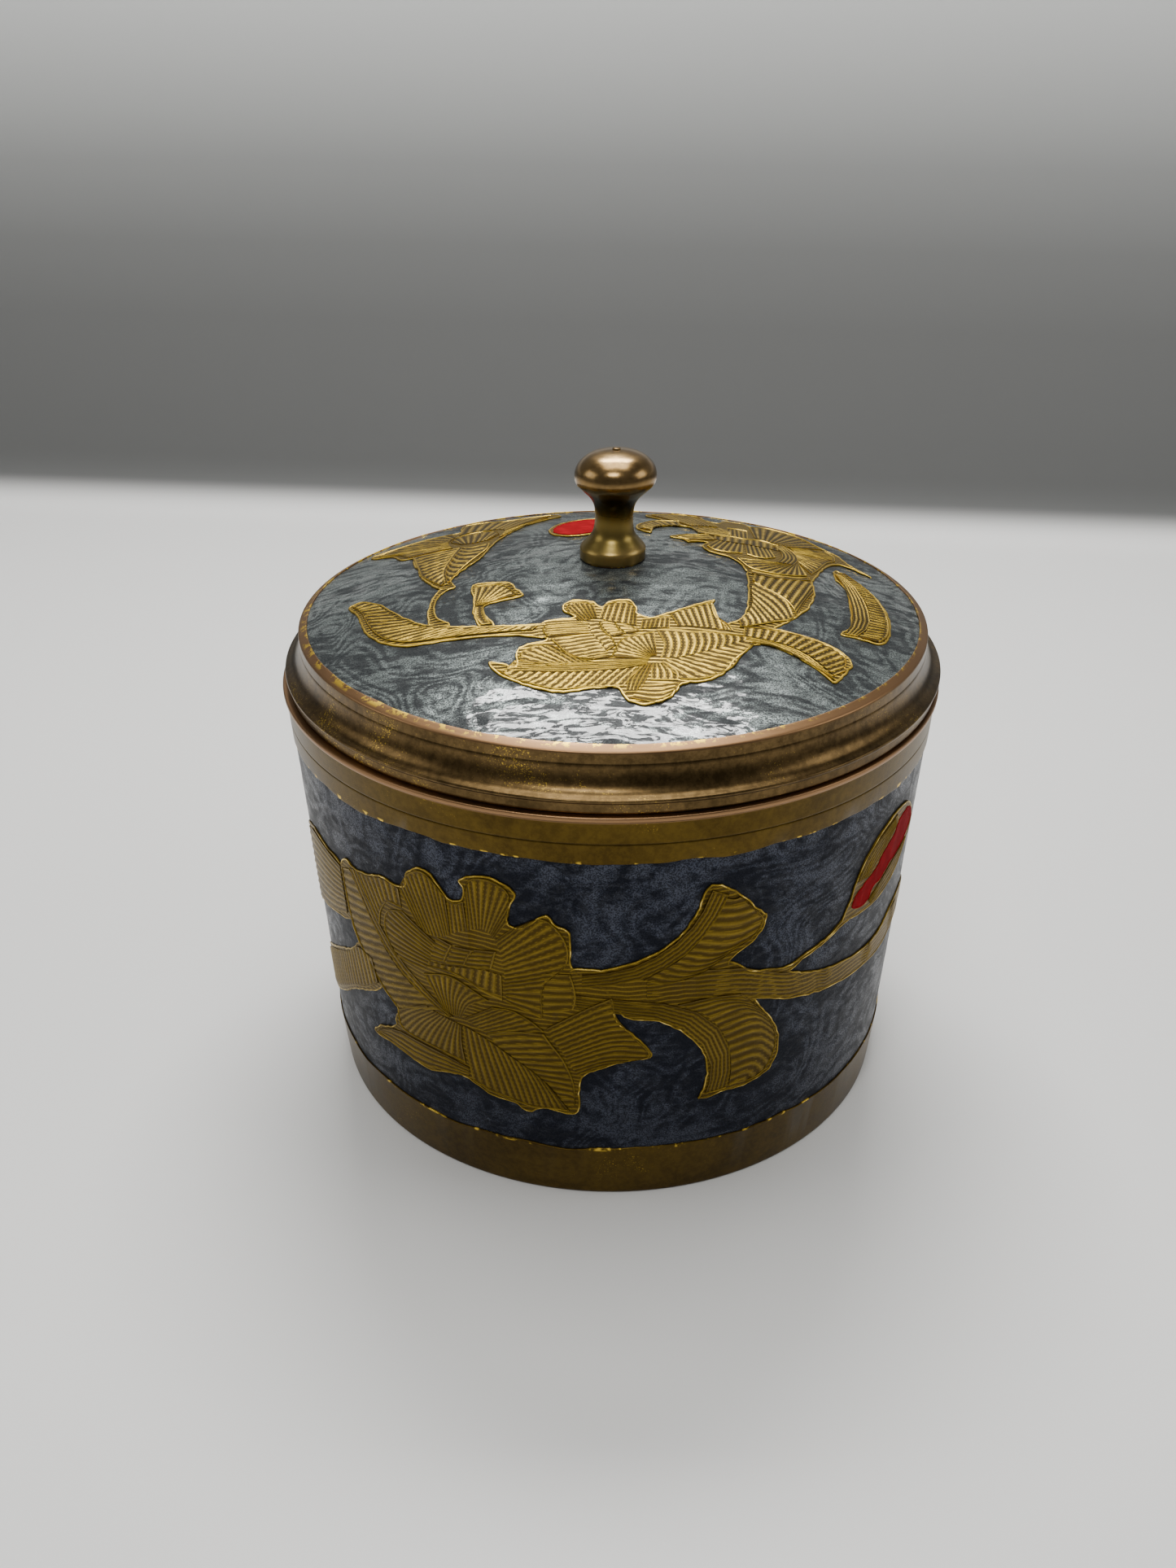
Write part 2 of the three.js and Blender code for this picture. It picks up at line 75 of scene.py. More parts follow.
class DrumSizes(bpy.types.PropertyGroup):
    """Sizes of the drum."""

    foot_radius: length("Foot radius", "Radius of the drum where it stands", 0.052)
    foot_round: length("Foot rounding", "Rounding of the drum's lowest edge", 0.0005)
    band_radius: length("Band radius", "Radius at the top of the plain foot band", 0.053)
    band_height: length("Band height", "Height of the plain foot band", 0.0106)
    top_radius: length("Top radius", "Radius of the drum's face at its mouth", 0.0568)
    height: length("Height", "Height of the drum with its lip", DRUM_HIGH.z)
    lip_radius: length("Lip radius", "Outer radius of the rolled lip", DRUM_HIGH.x)
    lip_height: length("Lip height", "Height of the rolled lip", 0.0011)
    top_margin: length("Top margin", "Plain brass between the enamel and the mouth", 0.0082)
    score_drop: length("Score drop", "How far the scored line lies below the lip", 0.0037)
    wall: length("Wall", "Thickness of the wall", 0.0028)
    floor: length("Floor", "Thickness of the floor", 0.003)


class LidSizes(bpy.types.PropertyGroup):
    """Sizes of the lid."""

    shift: length("Sideways shift", "How far the loose lid lies off the drum's centre", 0.00035)
    clearance: length("Clearance", "Play of the lid's spigot in the mouth", 0.0007)
    seat_radius: length("Seat radius", "Radius of the face that rests on the drum", 0.056)
    fillet_radius: length("Fillet radius", "Radius of the lowest moulding", 0.0563)
    fillet_height: length("Fillet height", "Height of the lowest moulding", 0.0019)
    torus_radius: length("Torus radius", "Outer radius of the rounded moulding", 0.0568)
    torus_height: length("Torus height", "Height of the rounded moulding", 0.001)
    cove_radius: length("Cove radius", "Radius in the hollow moulding", 0.05415)
    cove_height: length("Cove height", "Height of the hollow moulding", 0.0042)
    rim_radius: length("Rim radius", "Outer radius of the rim round the enamel", 0.05405)
    rim_height: length("Rim height", "Height of the rim above the mouth", 0.00894)
    rim_band: length("Rim band", "Height of the upright band under the rim", 0.002)
    enamel_radius: length("Enamel radius", "Radius of the enamelled field", 0.0526)
    enamel_rise: length("Enamel rise", "Height of the enamel's edge above the rim", 0.00076)
    dome_rise: length("Dome rise", "Height of the dome above its edge", 0.0093)
    thickness: length("Thickness", "Thickness of the lid", 0.0034)
    spigot_depth: length("Spigot depth", "How far the spigot reaches into the drum", 0.0045)
    spigot_wall: length("Spigot wall", "Thickness of the spigot", 0.0022)
    knob_seat: length("Knob seat", "Radius of the brass left bare for the knob", 0.005)


class KnobSizes(bpy.types.PropertyGroup):
    """Sizes of the knob."""

    foot_radius: length("Foot radius", "Radius of the knob's foot", 0.0056)
    neck_radius: length("Neck radius", "Radius of the knob's neck", 0.00323)
    head_radius: length("Head radius", "Radius of the knob's head", 0.00688)
    rivet_radius: length("Rivet radius", "Radius of the rivet's end on the knob's top", 0.0007)
    lean: FloatProperty(name="Lean", description="Sideways lean of the knob, as a slope", default=0.03)


class ReliefSizes(bpy.types.PropertyGroup):
    """Sizes of the enamel and of the chased relief."""

    enamel_drop: length("Enamel drop", "How far the enamel's surface lies below the brass", 0.00025)
    enamel_depth: length("Enamel depth", "Thickness of the enamel", 0.0009)
    edge_width: length("Edge width", "Width of the bright edge line of a motif", 0.00024)
    rib_height: length("Rib height", "Height of the ribs on petals and leaves", 0.0002)
    rib_steps: IntProperty(name="Rib steps", description="Faces across one rib", default=6, min=4, max=12)
    edge_waver: length("Edge waver", "How far a hand-cut edge strays from its drawn line", 0.00026)
    drum_ripple: length("Drum ripple", "Height of the ripples in the drum's enamel", 0.00004)
    lid_ripple: length("Lid ripple", "Height of the ripples in the lid's enamel", 0.00009)
    turns: IntProperty(name="Turned faces", description="Faces round the drum", default=288, min=96)
    enamel_turns: IntProperty(name="Enamel faces", description="Faces round the enamel", default=480, min=96)


class BoxColours(bpy.types.PropertyGroup):
    """Colours of the brass and of the enamel."""

    bright_brass: colour("Bright brass", "Brass where it is rubbed bright", (0.79, 0.525, 0.065))
    worn_brass: colour("Worn brass", "Brass of edges that are worn pale", (0.85, 0.64, 0.2))
    aged_brass: colour("Aged brass", "Brass under its thin brown film", (0.30, 0.19, 0.038))
    dark_brass: colour("Dark brass", "Brass in grooves and stains", (0.055, 0.034, 0.008))
    copper_brass: colour("Copper brass", "The redder brass of the lip and the rim", (0.27, 0.155, 0.075))
    brown_brass: colour("Brown brass", "Brass of the knob and of the lid's mouldings", (0.20, 0.128, 0.052))
    drum_enamel: colour("Drum enamel", "Blue-black enamel on the drum", (0.005, 0.006, 0.010))
    drum_pearl: colour("Drum pearl", "Pearly swirls in the drum's enamel", (0.050, 0.056, 0.077))
    lid_enamel: colour("Lid enamel", "Grey enamel on the lid", (0.012, 0.013, 0.015))
    lid_pearl: colour("Lid pearl", "Pearly streaks in the lid's enamel", (0.178, 0.204, 0.197))
    red_enamel: colour("Red enamel", "Red enamel of the buds", (0.19, 0.006, 0.009))
    floor: colour("Floor", "The floor that the box stands on", (0.66, 0.66, 0.65))
    # The wall's colour is the painted shade low on the backdrop; backdrop_paint brightens it higher up as
    # painted light.
    wall: colour("Wall", "The darkest part of the backdrop", (0.105, 0.107, 0.106))


SETTINGS = {
    "box_drum": DrumSizes,
    "box_lid": LidSizes,
    "box_knob": KnobSizes,
    "box_relief": ReliefSizes,
    "box_colours": BoxColours,
}

# The motifs in millimetres: the drum's strip unrolled at this radius, x along the wall from the
# front and y as height; the lid's from above, y to the back
DRAWN_RADIUS = 54.5
DRUM_SPRAYS = 2
DRUM_MOTIFS = {
    "upper_left_leaf": [
        (-84, 31), (-81, 40.5), (-75, 48.8), (-70, 52.3), (-66, 54.4), (-62, 55.5), (-57, 55.2),
        (-51, 54.6), (-46, 52), (-46, 46), (-50, 43.4), (-57, 41), (-66, 38), (-74, 33.4), (-80, 30),
    ],
    "lower_left_leaf": [
        (-81, 14.5), (-78, 19), (-72, 24.8), (-63, 30.2), (-56, 34), (-51, 37), (-48.3, 39.6), (-44, 40),
        (-41, 36), (-43, 32.6), (-47, 29.9), (-52.5, 27), (-58, 23), (-65, 18.8), (-73, 15.4),
    ],
    "stem": [
        (14, 48.5), (19.1, 48.6), (23, 45.8), (28, 44.4), (32, 42.2), (36, 40.6), (42, 39.2), (50, 38.2),
        (56, 38.6), (60, 40.3), (66, 41.4), (71, 40.6), (75, 38.6), (78.5, 35.4), (74, 34.6), (68, 34.9),
        (58, 33.6), (48, 34.1), (38, 35.3), (31, 37), (24.8, 39.3), (12, 42),
    ],
    "tendril": [
        (26, 44.8), (30, 44.2), (34.5, 45.5), (39, 46.9), (41.5, 48.6), (42.6, 50.6), (44.4, 50.2),
        (44, 47.8), (41.5, 47.2), (37.5, 45.5), (33, 44.2), (29, 42.4),
    ],
    "lower_right_leaf": [
        (0, 45), (12, 45), (22, 42), (25.5, 37.6), (28.4, 33.5), (30.2, 28), (29, 23.3), (25.6, 21.4),
        (19.5, 20.9), (15.4, 20.4), (16.5, 24), (16, 29.6), (13, 34.5), (8, 38.3), (2.5, 39.7),
    ],
    "upper_right_leaf": [
        (-6, 48.7), (0, 49.4), (6, 51.6), (10.4, 54.9), (12.9, 58.6), (14.3, 63), (15.2, 64), (18.5, 62.6),
        (22.8, 58.3), (24.9, 55.7), (23.4, 52), (19.1, 48.6), (20, 44), (12, 41), (0, 41), (-6, 43),
    ],
    "peony": [
        (-50.4, 54.8), (-48, 56.7), (-46.6, 56.1), (-42, 56.7), (-38.5, 58), (-35, 57.5), (-33.3, 58.6),
        (-33, 60.6), (-30.4, 62.8), (-27.8, 62.3), (-26, 60), (-24.6, 58.7), (-22.8, 59.1), (-22.3, 61.2),
        (-22.9, 62.7), (-21.4, 63.9), (-17.6, 64.6), (-13.9, 62.3), (-14.7, 59.7), (-15.1, 56.5),
        (-13.6, 55.9), (-11.6, 57.3), (-9.4, 59), (-8, 57.6), (-5.9, 56.3), (-5.6, 53), (-5.2, 48.8),
        (0, 45), (1.6, 38.7), (4.5, 35.6), (7.3, 31.2), (3, 30.2), (-1, 28.7), (-4, 26.8), (-4.6, 24),
        (-5.2, 18.6), (-11, 18.9), (-13.5, 17.7), (-16, 19.1), (-20, 19.5), (-25, 21.9), (-29, 21.2),
        (-33, 20.1), (-40, 21.2), (-47.3, 21), (-45, 23.6), (-40.4, 26), (-39.8, 28.5), (-38.8, 30.4),
        (-42, 32.9), (-45.5, 36.2), (-48.2, 39.8), (-49.6, 42.8), (-50.2, 48),
    ],
    "bud": [
        (42.2, 48.2), (42.8, 51.5), (44.8, 57), (49, 61.4), (55, 63.5), (60.5, 62.3), (64.3, 58.4),
        (65, 56.4), (62.3, 52.4), (57, 48.6), (50, 47.1),
    ],
}
DRUM_BUD_CELL = [
    (43.6, 50), (44.2, 51.8), (46.2, 53.2), (50, 55.2), (51.2, 56.8), (54.8, 58.7), (56, 60.6),
    (59.5, 61.5), (62.6, 60), (64.1, 57.6), (63.3, 56), (59.5, 54.3), (54.6, 53), (52, 51.5),
    (49.4, 50.9), (48.4, 49.1), (46, 48.6),
]
LID_MOTIFS = {
    "crescent_leaf": [
        (39.9, 9.8), (39, 5.8), (40.2, 0), (39.9, -8), (38.6, -16.2), (36.8, -19.1), (40, -19.3),
        (43.4, -19.5), (45.6, -15.6), (46.6, -8), (45.6, -0.4), (43.2, 5.6),
    ],
    "right_leaf": [
        (18, -24), (21, -27.4), (24.2, -26.4), (28.5, -28.6), (31.6, -31.2), (34.1, -34.1), (36, -31.3),
        (37.7, -28), (36.2, -24.5), (31.5, -22.2), (26, -21.2), (20, -21.4),
    ],
    "twin_leaf": [
        (23.8, 1), (22.8, -6), (22.1, -14), (20.6, -19.5), (17.6, -22.8), (22, -25), (26.4, -20.6),
        (30, -16.3), (33.4, -9.4), (34.5, -3), (33.6, 2),
    ],
    "left_leaf": [
        (-9.5, -23), (-12, -23.3), (-20, -22.3), (-26, -20.7), (-31, -18.3), (-35.5, -13.3),
        (-39.5, -7.5), (-43, -4.9), (-44.9, -6), (-42.6, -11), (-40.6, -17.4), (-37, -22.4),
        (-32.5, -24.9), (-24, -25.2), (-16, -25.9), (-9.5, -27.2),
    ],
    "left_tendril": [
        (-26, -20.4), (-28.6, -17), (-29.2, -13), (-28.9, -9.6), (-27.4, -6.8), (-28.6, -6.2),
        (-29.8, -8.6), (-30.3, -13), (-30, -17.4), (-29.2, -20),
    ],
    "fan_bud": [
        (-23.5, -7.2), (-20, -7.3), (-17, -8.6), (-15.8, -11), (-14.5, -13.6), (-20.7, -15.8),
        (-20.5, -18.5), (-18.8, -22.6), (-20.8, -22.8), (-22.5, -18.5), (-22.9, -13),
    ],
    "near_flower": [
        (18.6, -22.6), (16.9, -20.6), (16.2, -16.6), (16.7, -14.6), (12.5, -17.5), (8.6, -20.3),
        (6.3, -21.8), (4.3, -21), (3.6, -18), (2.4, -16.6), (-0.6, -17.4), (-1.6, -18.8), (-3.4, -17.1),
        (-7.1, -16.9), (-8.1, -19.4), (-6.1, -21.9), (-8.7, -22.2), (-11.4, -23.2), (-11.4, -26.8),
        (-10.2, -27.8), (-14.5, -29.6), (-14.9, -34.4), (-16.4, -33.6), (-19, -32.7), (-17.3, -36),
        (-13.5, -38.9), (-8, -41.2), (-3.5, -40.7), (0.7, -40.5), (2.4, -43.3), (5, -44.1), (8.8, -42.2),
        (10.6, -39), (14.5, -37.8), (17.4, -35), (19.2, -31.5), (22.3, -27), (23.5, -24),
    ],
    "left_flower": [
        (-26.6, -7), (-27.4, -3.6), (-25.5, 1), (-23, 5.8), (-21.9, 11.5), (-20.9, 16), (-19.3, 20.5),
        (-17, 27), (-13.5, 33.5), (-10, 39.6), (-12, 42.2), (-16.5, 40.6), (-20.5, 38), (-25, 39.9),
        (-28.9, 39.4), (-29.6, 35), (-29.4, 30), (-34.5, 29), (-40.3, 25.8), (-45.2, 22), (-44.4, 20.4),
        (-41, 18.8), (-38.6, 14.4), (-36.2, 13.2), (-35.7, 9.4), (-34.2, 5), (-33.4, 1.2), (-31.4, -3.2),
        (-29, -6.6),
    ],
    "red_bud": [
        (-11.7, 19), (-11.5, 22.4), (-10, 26.5), (-6.5, 30.6), (-2.8, 32), (0.2, 29.6), (0.8, 25),
        (-0.6, 19.6), (-3.4, 15), (-7.4, 13.7), (-10.4, 15.4),
    ],
    "right_flower": [
        (23.2, -1.4), (22.4, 1.9), (20.3, 5.4), (17, 7), (15.8, 10), (17, 13), (15, 13), (13.4, 11.9),
        (12.4, 13.6), (10.4, 14.4), (13.3, 17.7), (17, 19.8), (15.4, 23.4), (14, 26), (10.5, 25.4),
        (7.7, 22.6), (6.9, 17), (4.7, 19.4), (4.7, 24.8), (7.6, 30), (9.4, 32.3), (6.4, 38.6), (8, 42.2),
        (14.5, 45.3), (17.2, 44.2), (18.4, 37.4), (20.4, 35.6), (22.2, 40), (25.4, 40.2), (27.2, 36.8),
        (30.6, 38.6), (36, 33.6), (39, 26.4), (41.8, 21.5), (43.6, 15.5), (46.7, 10.6), (41.8, 14.4),
        (39.4, 12.4), (36.8, 6.5), (34.2, 0), (30, -3),
    ],
}
LID_BUD_CELL = [
    (-10.9, 19), (-10.6, 22.6), (-9.1, 26.2), (-6, 29.6), (-2.9, 31), (-0.7, 29), (0, 25), (-1.3, 20),
    (-4, 15.8), (-7.4, 14.6), (-9.8, 16),
]

# Chased petals and leaves: the number of ribs, then the lines that each rib crosses from its
# start to its end, all drawn as the motifs are
DRUM_RIBS = [
    # peony, outer petal at the left, its double midrib, and the lobes above it
    (17, [(-47.5, 55), (-44.5, 50.5), (-42, 46), (-39.5, 42), (-36, 38.8), (-32.5, 36.8), (-29, 35)],
         [(-50, 54), (-50, 49.5), (-49.4, 44), (-47.5, 39.6), (-44.8, 36.2), (-42, 33.4), (-39.3, 30.9)]),
    (2, [(-47.3, 55.4), (-45.2, 55.8)], [(-43.4, 48), (-41.6, 48.8)], [(-38.3, 41.3), (-36.7, 42.5)],
        [(-31.3, 36.1), (-30, 37.2)], [(-27, 34.2), (-26.2, 34.6)]),
    (8, [(-45, 55.7), (-42, 56.2), (-38.5, 57.4), (-34.8, 57)],
        [(-40.6, 47.2), (-39.7, 50.5), (-37.6, 53.2), (-34.6, 53.4)]),
    (10, [(-31, 42.6), (-30, 44.5), (-29.4, 46), (-28.8, 47.5), (-28.2, 49)],
         [(-37.3, 42.6), (-39, 45.3), (-39.3, 48.6), (-38, 51.4), (-34.6, 52.8)]),
    (11, [(-31.5, 51.4), (-29, 50.3), (-27, 50.6), (-25.2, 51.8)],
         [(-34.6, 57.4), (-32.4, 60.8), (-29.4, 62.3), (-25.6, 59)]),
    (4, [(-25.1, 51.9), (-23.5, 52.8), (-22.1, 53.5)], [(-25.2, 58.6), (-23.8, 58.2), (-22.4, 59)]),
    (11, [(-22, 53.5), (-20.5, 54.2), (-19.5, 54.4), (-18.4, 53.9), (-17.7, 53)],
         [(-22, 61), (-21, 63.4), (-18, 64.1), (-15, 62.4), (-15.2, 57)]),
    (16, [(-17.5, 52.8), (-16.8, 50.8), (-16.4, 48.3), (-16.3, 45.8), (-16.3, 43.2), (-16.2, 40.8)],
         [(-14.2, 56), (-9.6, 58.2), (-6.5, 54.5), (-6.3, 50), (-10, 45), (-10.4, 38.6)]),
    (5, [(-9.7, 47.8), (-9.9, 45), (-10.1, 42.5), (-10.2, 39.8)],
        [(-5.8, 48), (-5.2, 45.5), (-5, 43), (-5.4, 41)]),
    # peony, scales of the centre
    (5, [(-29.6, 45.4), (-29.1, 47.8), (-27.7, 50.2)], [(-26.9, 45.7), (-26.1, 47.5), (-25.1, 49.6)]),
    (4, [(-26.6, 45.5), (-25.8, 47.3), (-24.7, 49.5)], [(-23.1, 46.4), (-22.4, 48), (-21.4, 49.8)]),
    (4, [(-22.8, 46.2), (-22.1, 48), (-21.1, 50)], [(-18.4, 47), (-17.9, 48.8), (-17.4, 50.6)]),
    (10, [(-30, 44.7), (-26.5, 45), (-23, 45.8), (-19.5, 46.3), (-16.8, 46)],
         [(-30.4, 43.5), (-26.8, 44), (-23.4, 43.4), (-20.4, 41.8), (-16.9, 40.8)]),
    # peony, petals round the lower hub
    (10, [(-28, 35.4), (-26.5, 35.1), (-24.6, 35.1)],
         [(-29.6, 38.5), (-26.6, 39), (-22.8, 38.3)],
         [(-31.4, 41.6), (-26, 43.1), (-19.3, 40.3)]),
    (8, [(-24.3, 34.9), (-22.5, 34.3), (-20.6, 33.5), (-19.2, 33.1)],
        [(-18.8, 39), (-15.5, 39.2), (-12.6, 37.9), (-10.3, 36)]),
    (12, [(-20, 33), (-17.8, 31), (-15.8, 29.5), (-13.8, 28.1), (-11.8, 26.7), (-9.4, 24.2), (-6.6, 20.4)],
         [(-15.4, 34.9), (-13.2, 32.3), (-11.3, 30.3), (-10, 28.3), (-8.8, 26.5), (-7.4, 24), (-6, 20.6)],
         [(-10.3, 35.4), (-9, 33.2), (-7.5, 30.9), (-6.5, 28.6), (-5.8, 26.4), (-5.4, 23.6), (-5.4, 20.6)]),
    (14, [(-9.8, 24.4), (-12.6, 27), (-15.8, 29.2), (-19, 31.2), (-21.8, 32.6), (-24.4, 33.4)],
         [(-8, 21.6), (-10.8, 23.3), (-14.2, 25.2), (-17.6, 26.8), (-20.9, 27.7), (-24.2, 28)],
         [(-6.4, 19.2), (-9.4, 19.2), (-12.6, 19), (-15.6, 19.6), (-19.2, 20.2), (-23.4, 21.8)]),
    (13, [(-24.8, 33.3), (-26.4, 33.6), (-28.4, 33.9), (-30.4, 34.3), (-32, 34.8)],
         [(-25, 29.2), (-28, 29.8), (-31.4, 30.4), (-34.6, 31), (-36.2, 32.2)],
         [(-24.6, 25.2), (-29.4, 26), (-34, 26.2), (-38.4, 26.8), (-39, 30.2)]),
    (4, [(-24, 24.4), (-24.2, 22.3)], [(-28.4, 25.3), (-29, 21.7)], [(-34, 25.6), (-35, 20.7)],
        [(-40, 25.4), (-41, 21.4)], [(-45, 22.8), (-46.6, 21.4)]),
    (13, [(-9.8, 36.6), (-8.8, 34.4), (-7.2, 31.8), (-6, 29.2), (-5, 27.2)],
         [(-3, 41.6), (-1.4, 38.8), (0, 35.6), (0.6, 32), (-1.4, 29.2)],
         [(0.6, 43.6), (1.4, 39.6), (3.8, 36), (6.8, 31.4), (2.6, 30.3)]),
    # right-hand leaves
    (4, [(-4, 48), (-4, 45.6)], [(3, 49.4), (4, 47)], [(9, 52.8), (10.6, 50.4)],
        [(13.3, 57.6), (15.4, 55.8)], [(15.4, 63), (18, 61.6)]),
    (12, [(5.4, 47), (8, 48.6), (11, 50.6), (13.2, 52.8), (14.8, 55.2), (16.4, 58), (17.8, 61)],
         [(8.8, 46), (11.8, 47.3), (15.2, 49.4), (18.4, 51.5), (19.8, 54.2), (19.8, 57.6), (19, 60.6)],
         [(12, 46.4), (15.5, 47.8), (19.4, 50.6), (23, 52.8), (24.3, 55.3), (22.6, 57.8), (20, 60.8)]),
    (5, [(-5, 41.4), (-5, 44)], [(3, 40.2), (3.5, 43)], [(9, 38.6), (11, 41.3)],
        [(14.2, 34.4), (16.7, 37.2)], [(17.1, 28.5), (20, 31.5)], [(17.2, 24), (20.8, 26)],
        [(16.6, 21.4), (20.3, 21.7)]),
    (14, [(11, 41.5), (14, 40), (16.7, 37.4), (18.7, 34.5), (20, 31.5), (20.7, 28.3), (21, 25), (20.8, 22)],
         [(16.6, 42), (19.8, 40.4), (22.5, 38.2), (24.6, 35.2), (25.6, 31.7), (25.8, 28.3), (25.2, 25.2),
          (23.4, 22.6)],
         [(21.6, 41.4), (24.3, 38.4), (26.8, 35.2), (28.7, 31.5), (29.4, 28.3), (28.8, 25.2), (27.2, 22.8),
          (24, 21.9)]),
    (6, [(6, 47), (6, 43.4)], [(14, 47.6), (14, 42.5)], [(19.5, 47.8), (20, 41.3)],
        [(23.5, 45.4), (25.5, 39.6)], [(30, 42.8), (31.5, 37.5)], [(38, 39.9), (38.5, 35.7)],
        [(48, 38.1), (48, 34.6)], [(58, 38.6), (58, 34.2)], [(66, 40.8), (67, 35.3)],
        [(75, 38.2), (74.5, 35)]),
    # bud, above and below its red cell
    (5, [(43.9, 54.6), (47.2, 54.3)], [(46.2, 58.4), (49.8, 56.6)], [(49.8, 61), (52.8, 58.7)],
        [(54.8, 62.6), (55.6, 60.8)]),
    (3, [(48.6, 48.9), (49.5, 47.8)], [(52.5, 51.1), (52.6, 48.4)], [(57, 53.1), (58, 50.1)],
        [(62, 54.5), (61.8, 53)]),
    # left-hand leaves
    (10, [(-50.8, 54), (-50.8, 44.4)], [(-56, 54.6), (-56, 42)], [(-63, 54.6), (-62, 40)],
         [(-70, 51.4), (-68, 37.8)], [(-76.5, 46.8), (-74, 34.2)], [(-80.6, 39.6), (-79.5, 31.2)]),
    (26, [(-44.4, 38.4), (-48.5, 38.5), (-53, 35.1), (-58, 32.2), (-64, 28.9), (-71, 24.4), (-77, 18.8)],
         [(-43.6, 33.6), (-47.4, 30.5), (-52.5, 27.8), (-57.5, 24.3), (-63.5, 20.5), (-70, 17.6),
          (-76, 15.6)]),
]
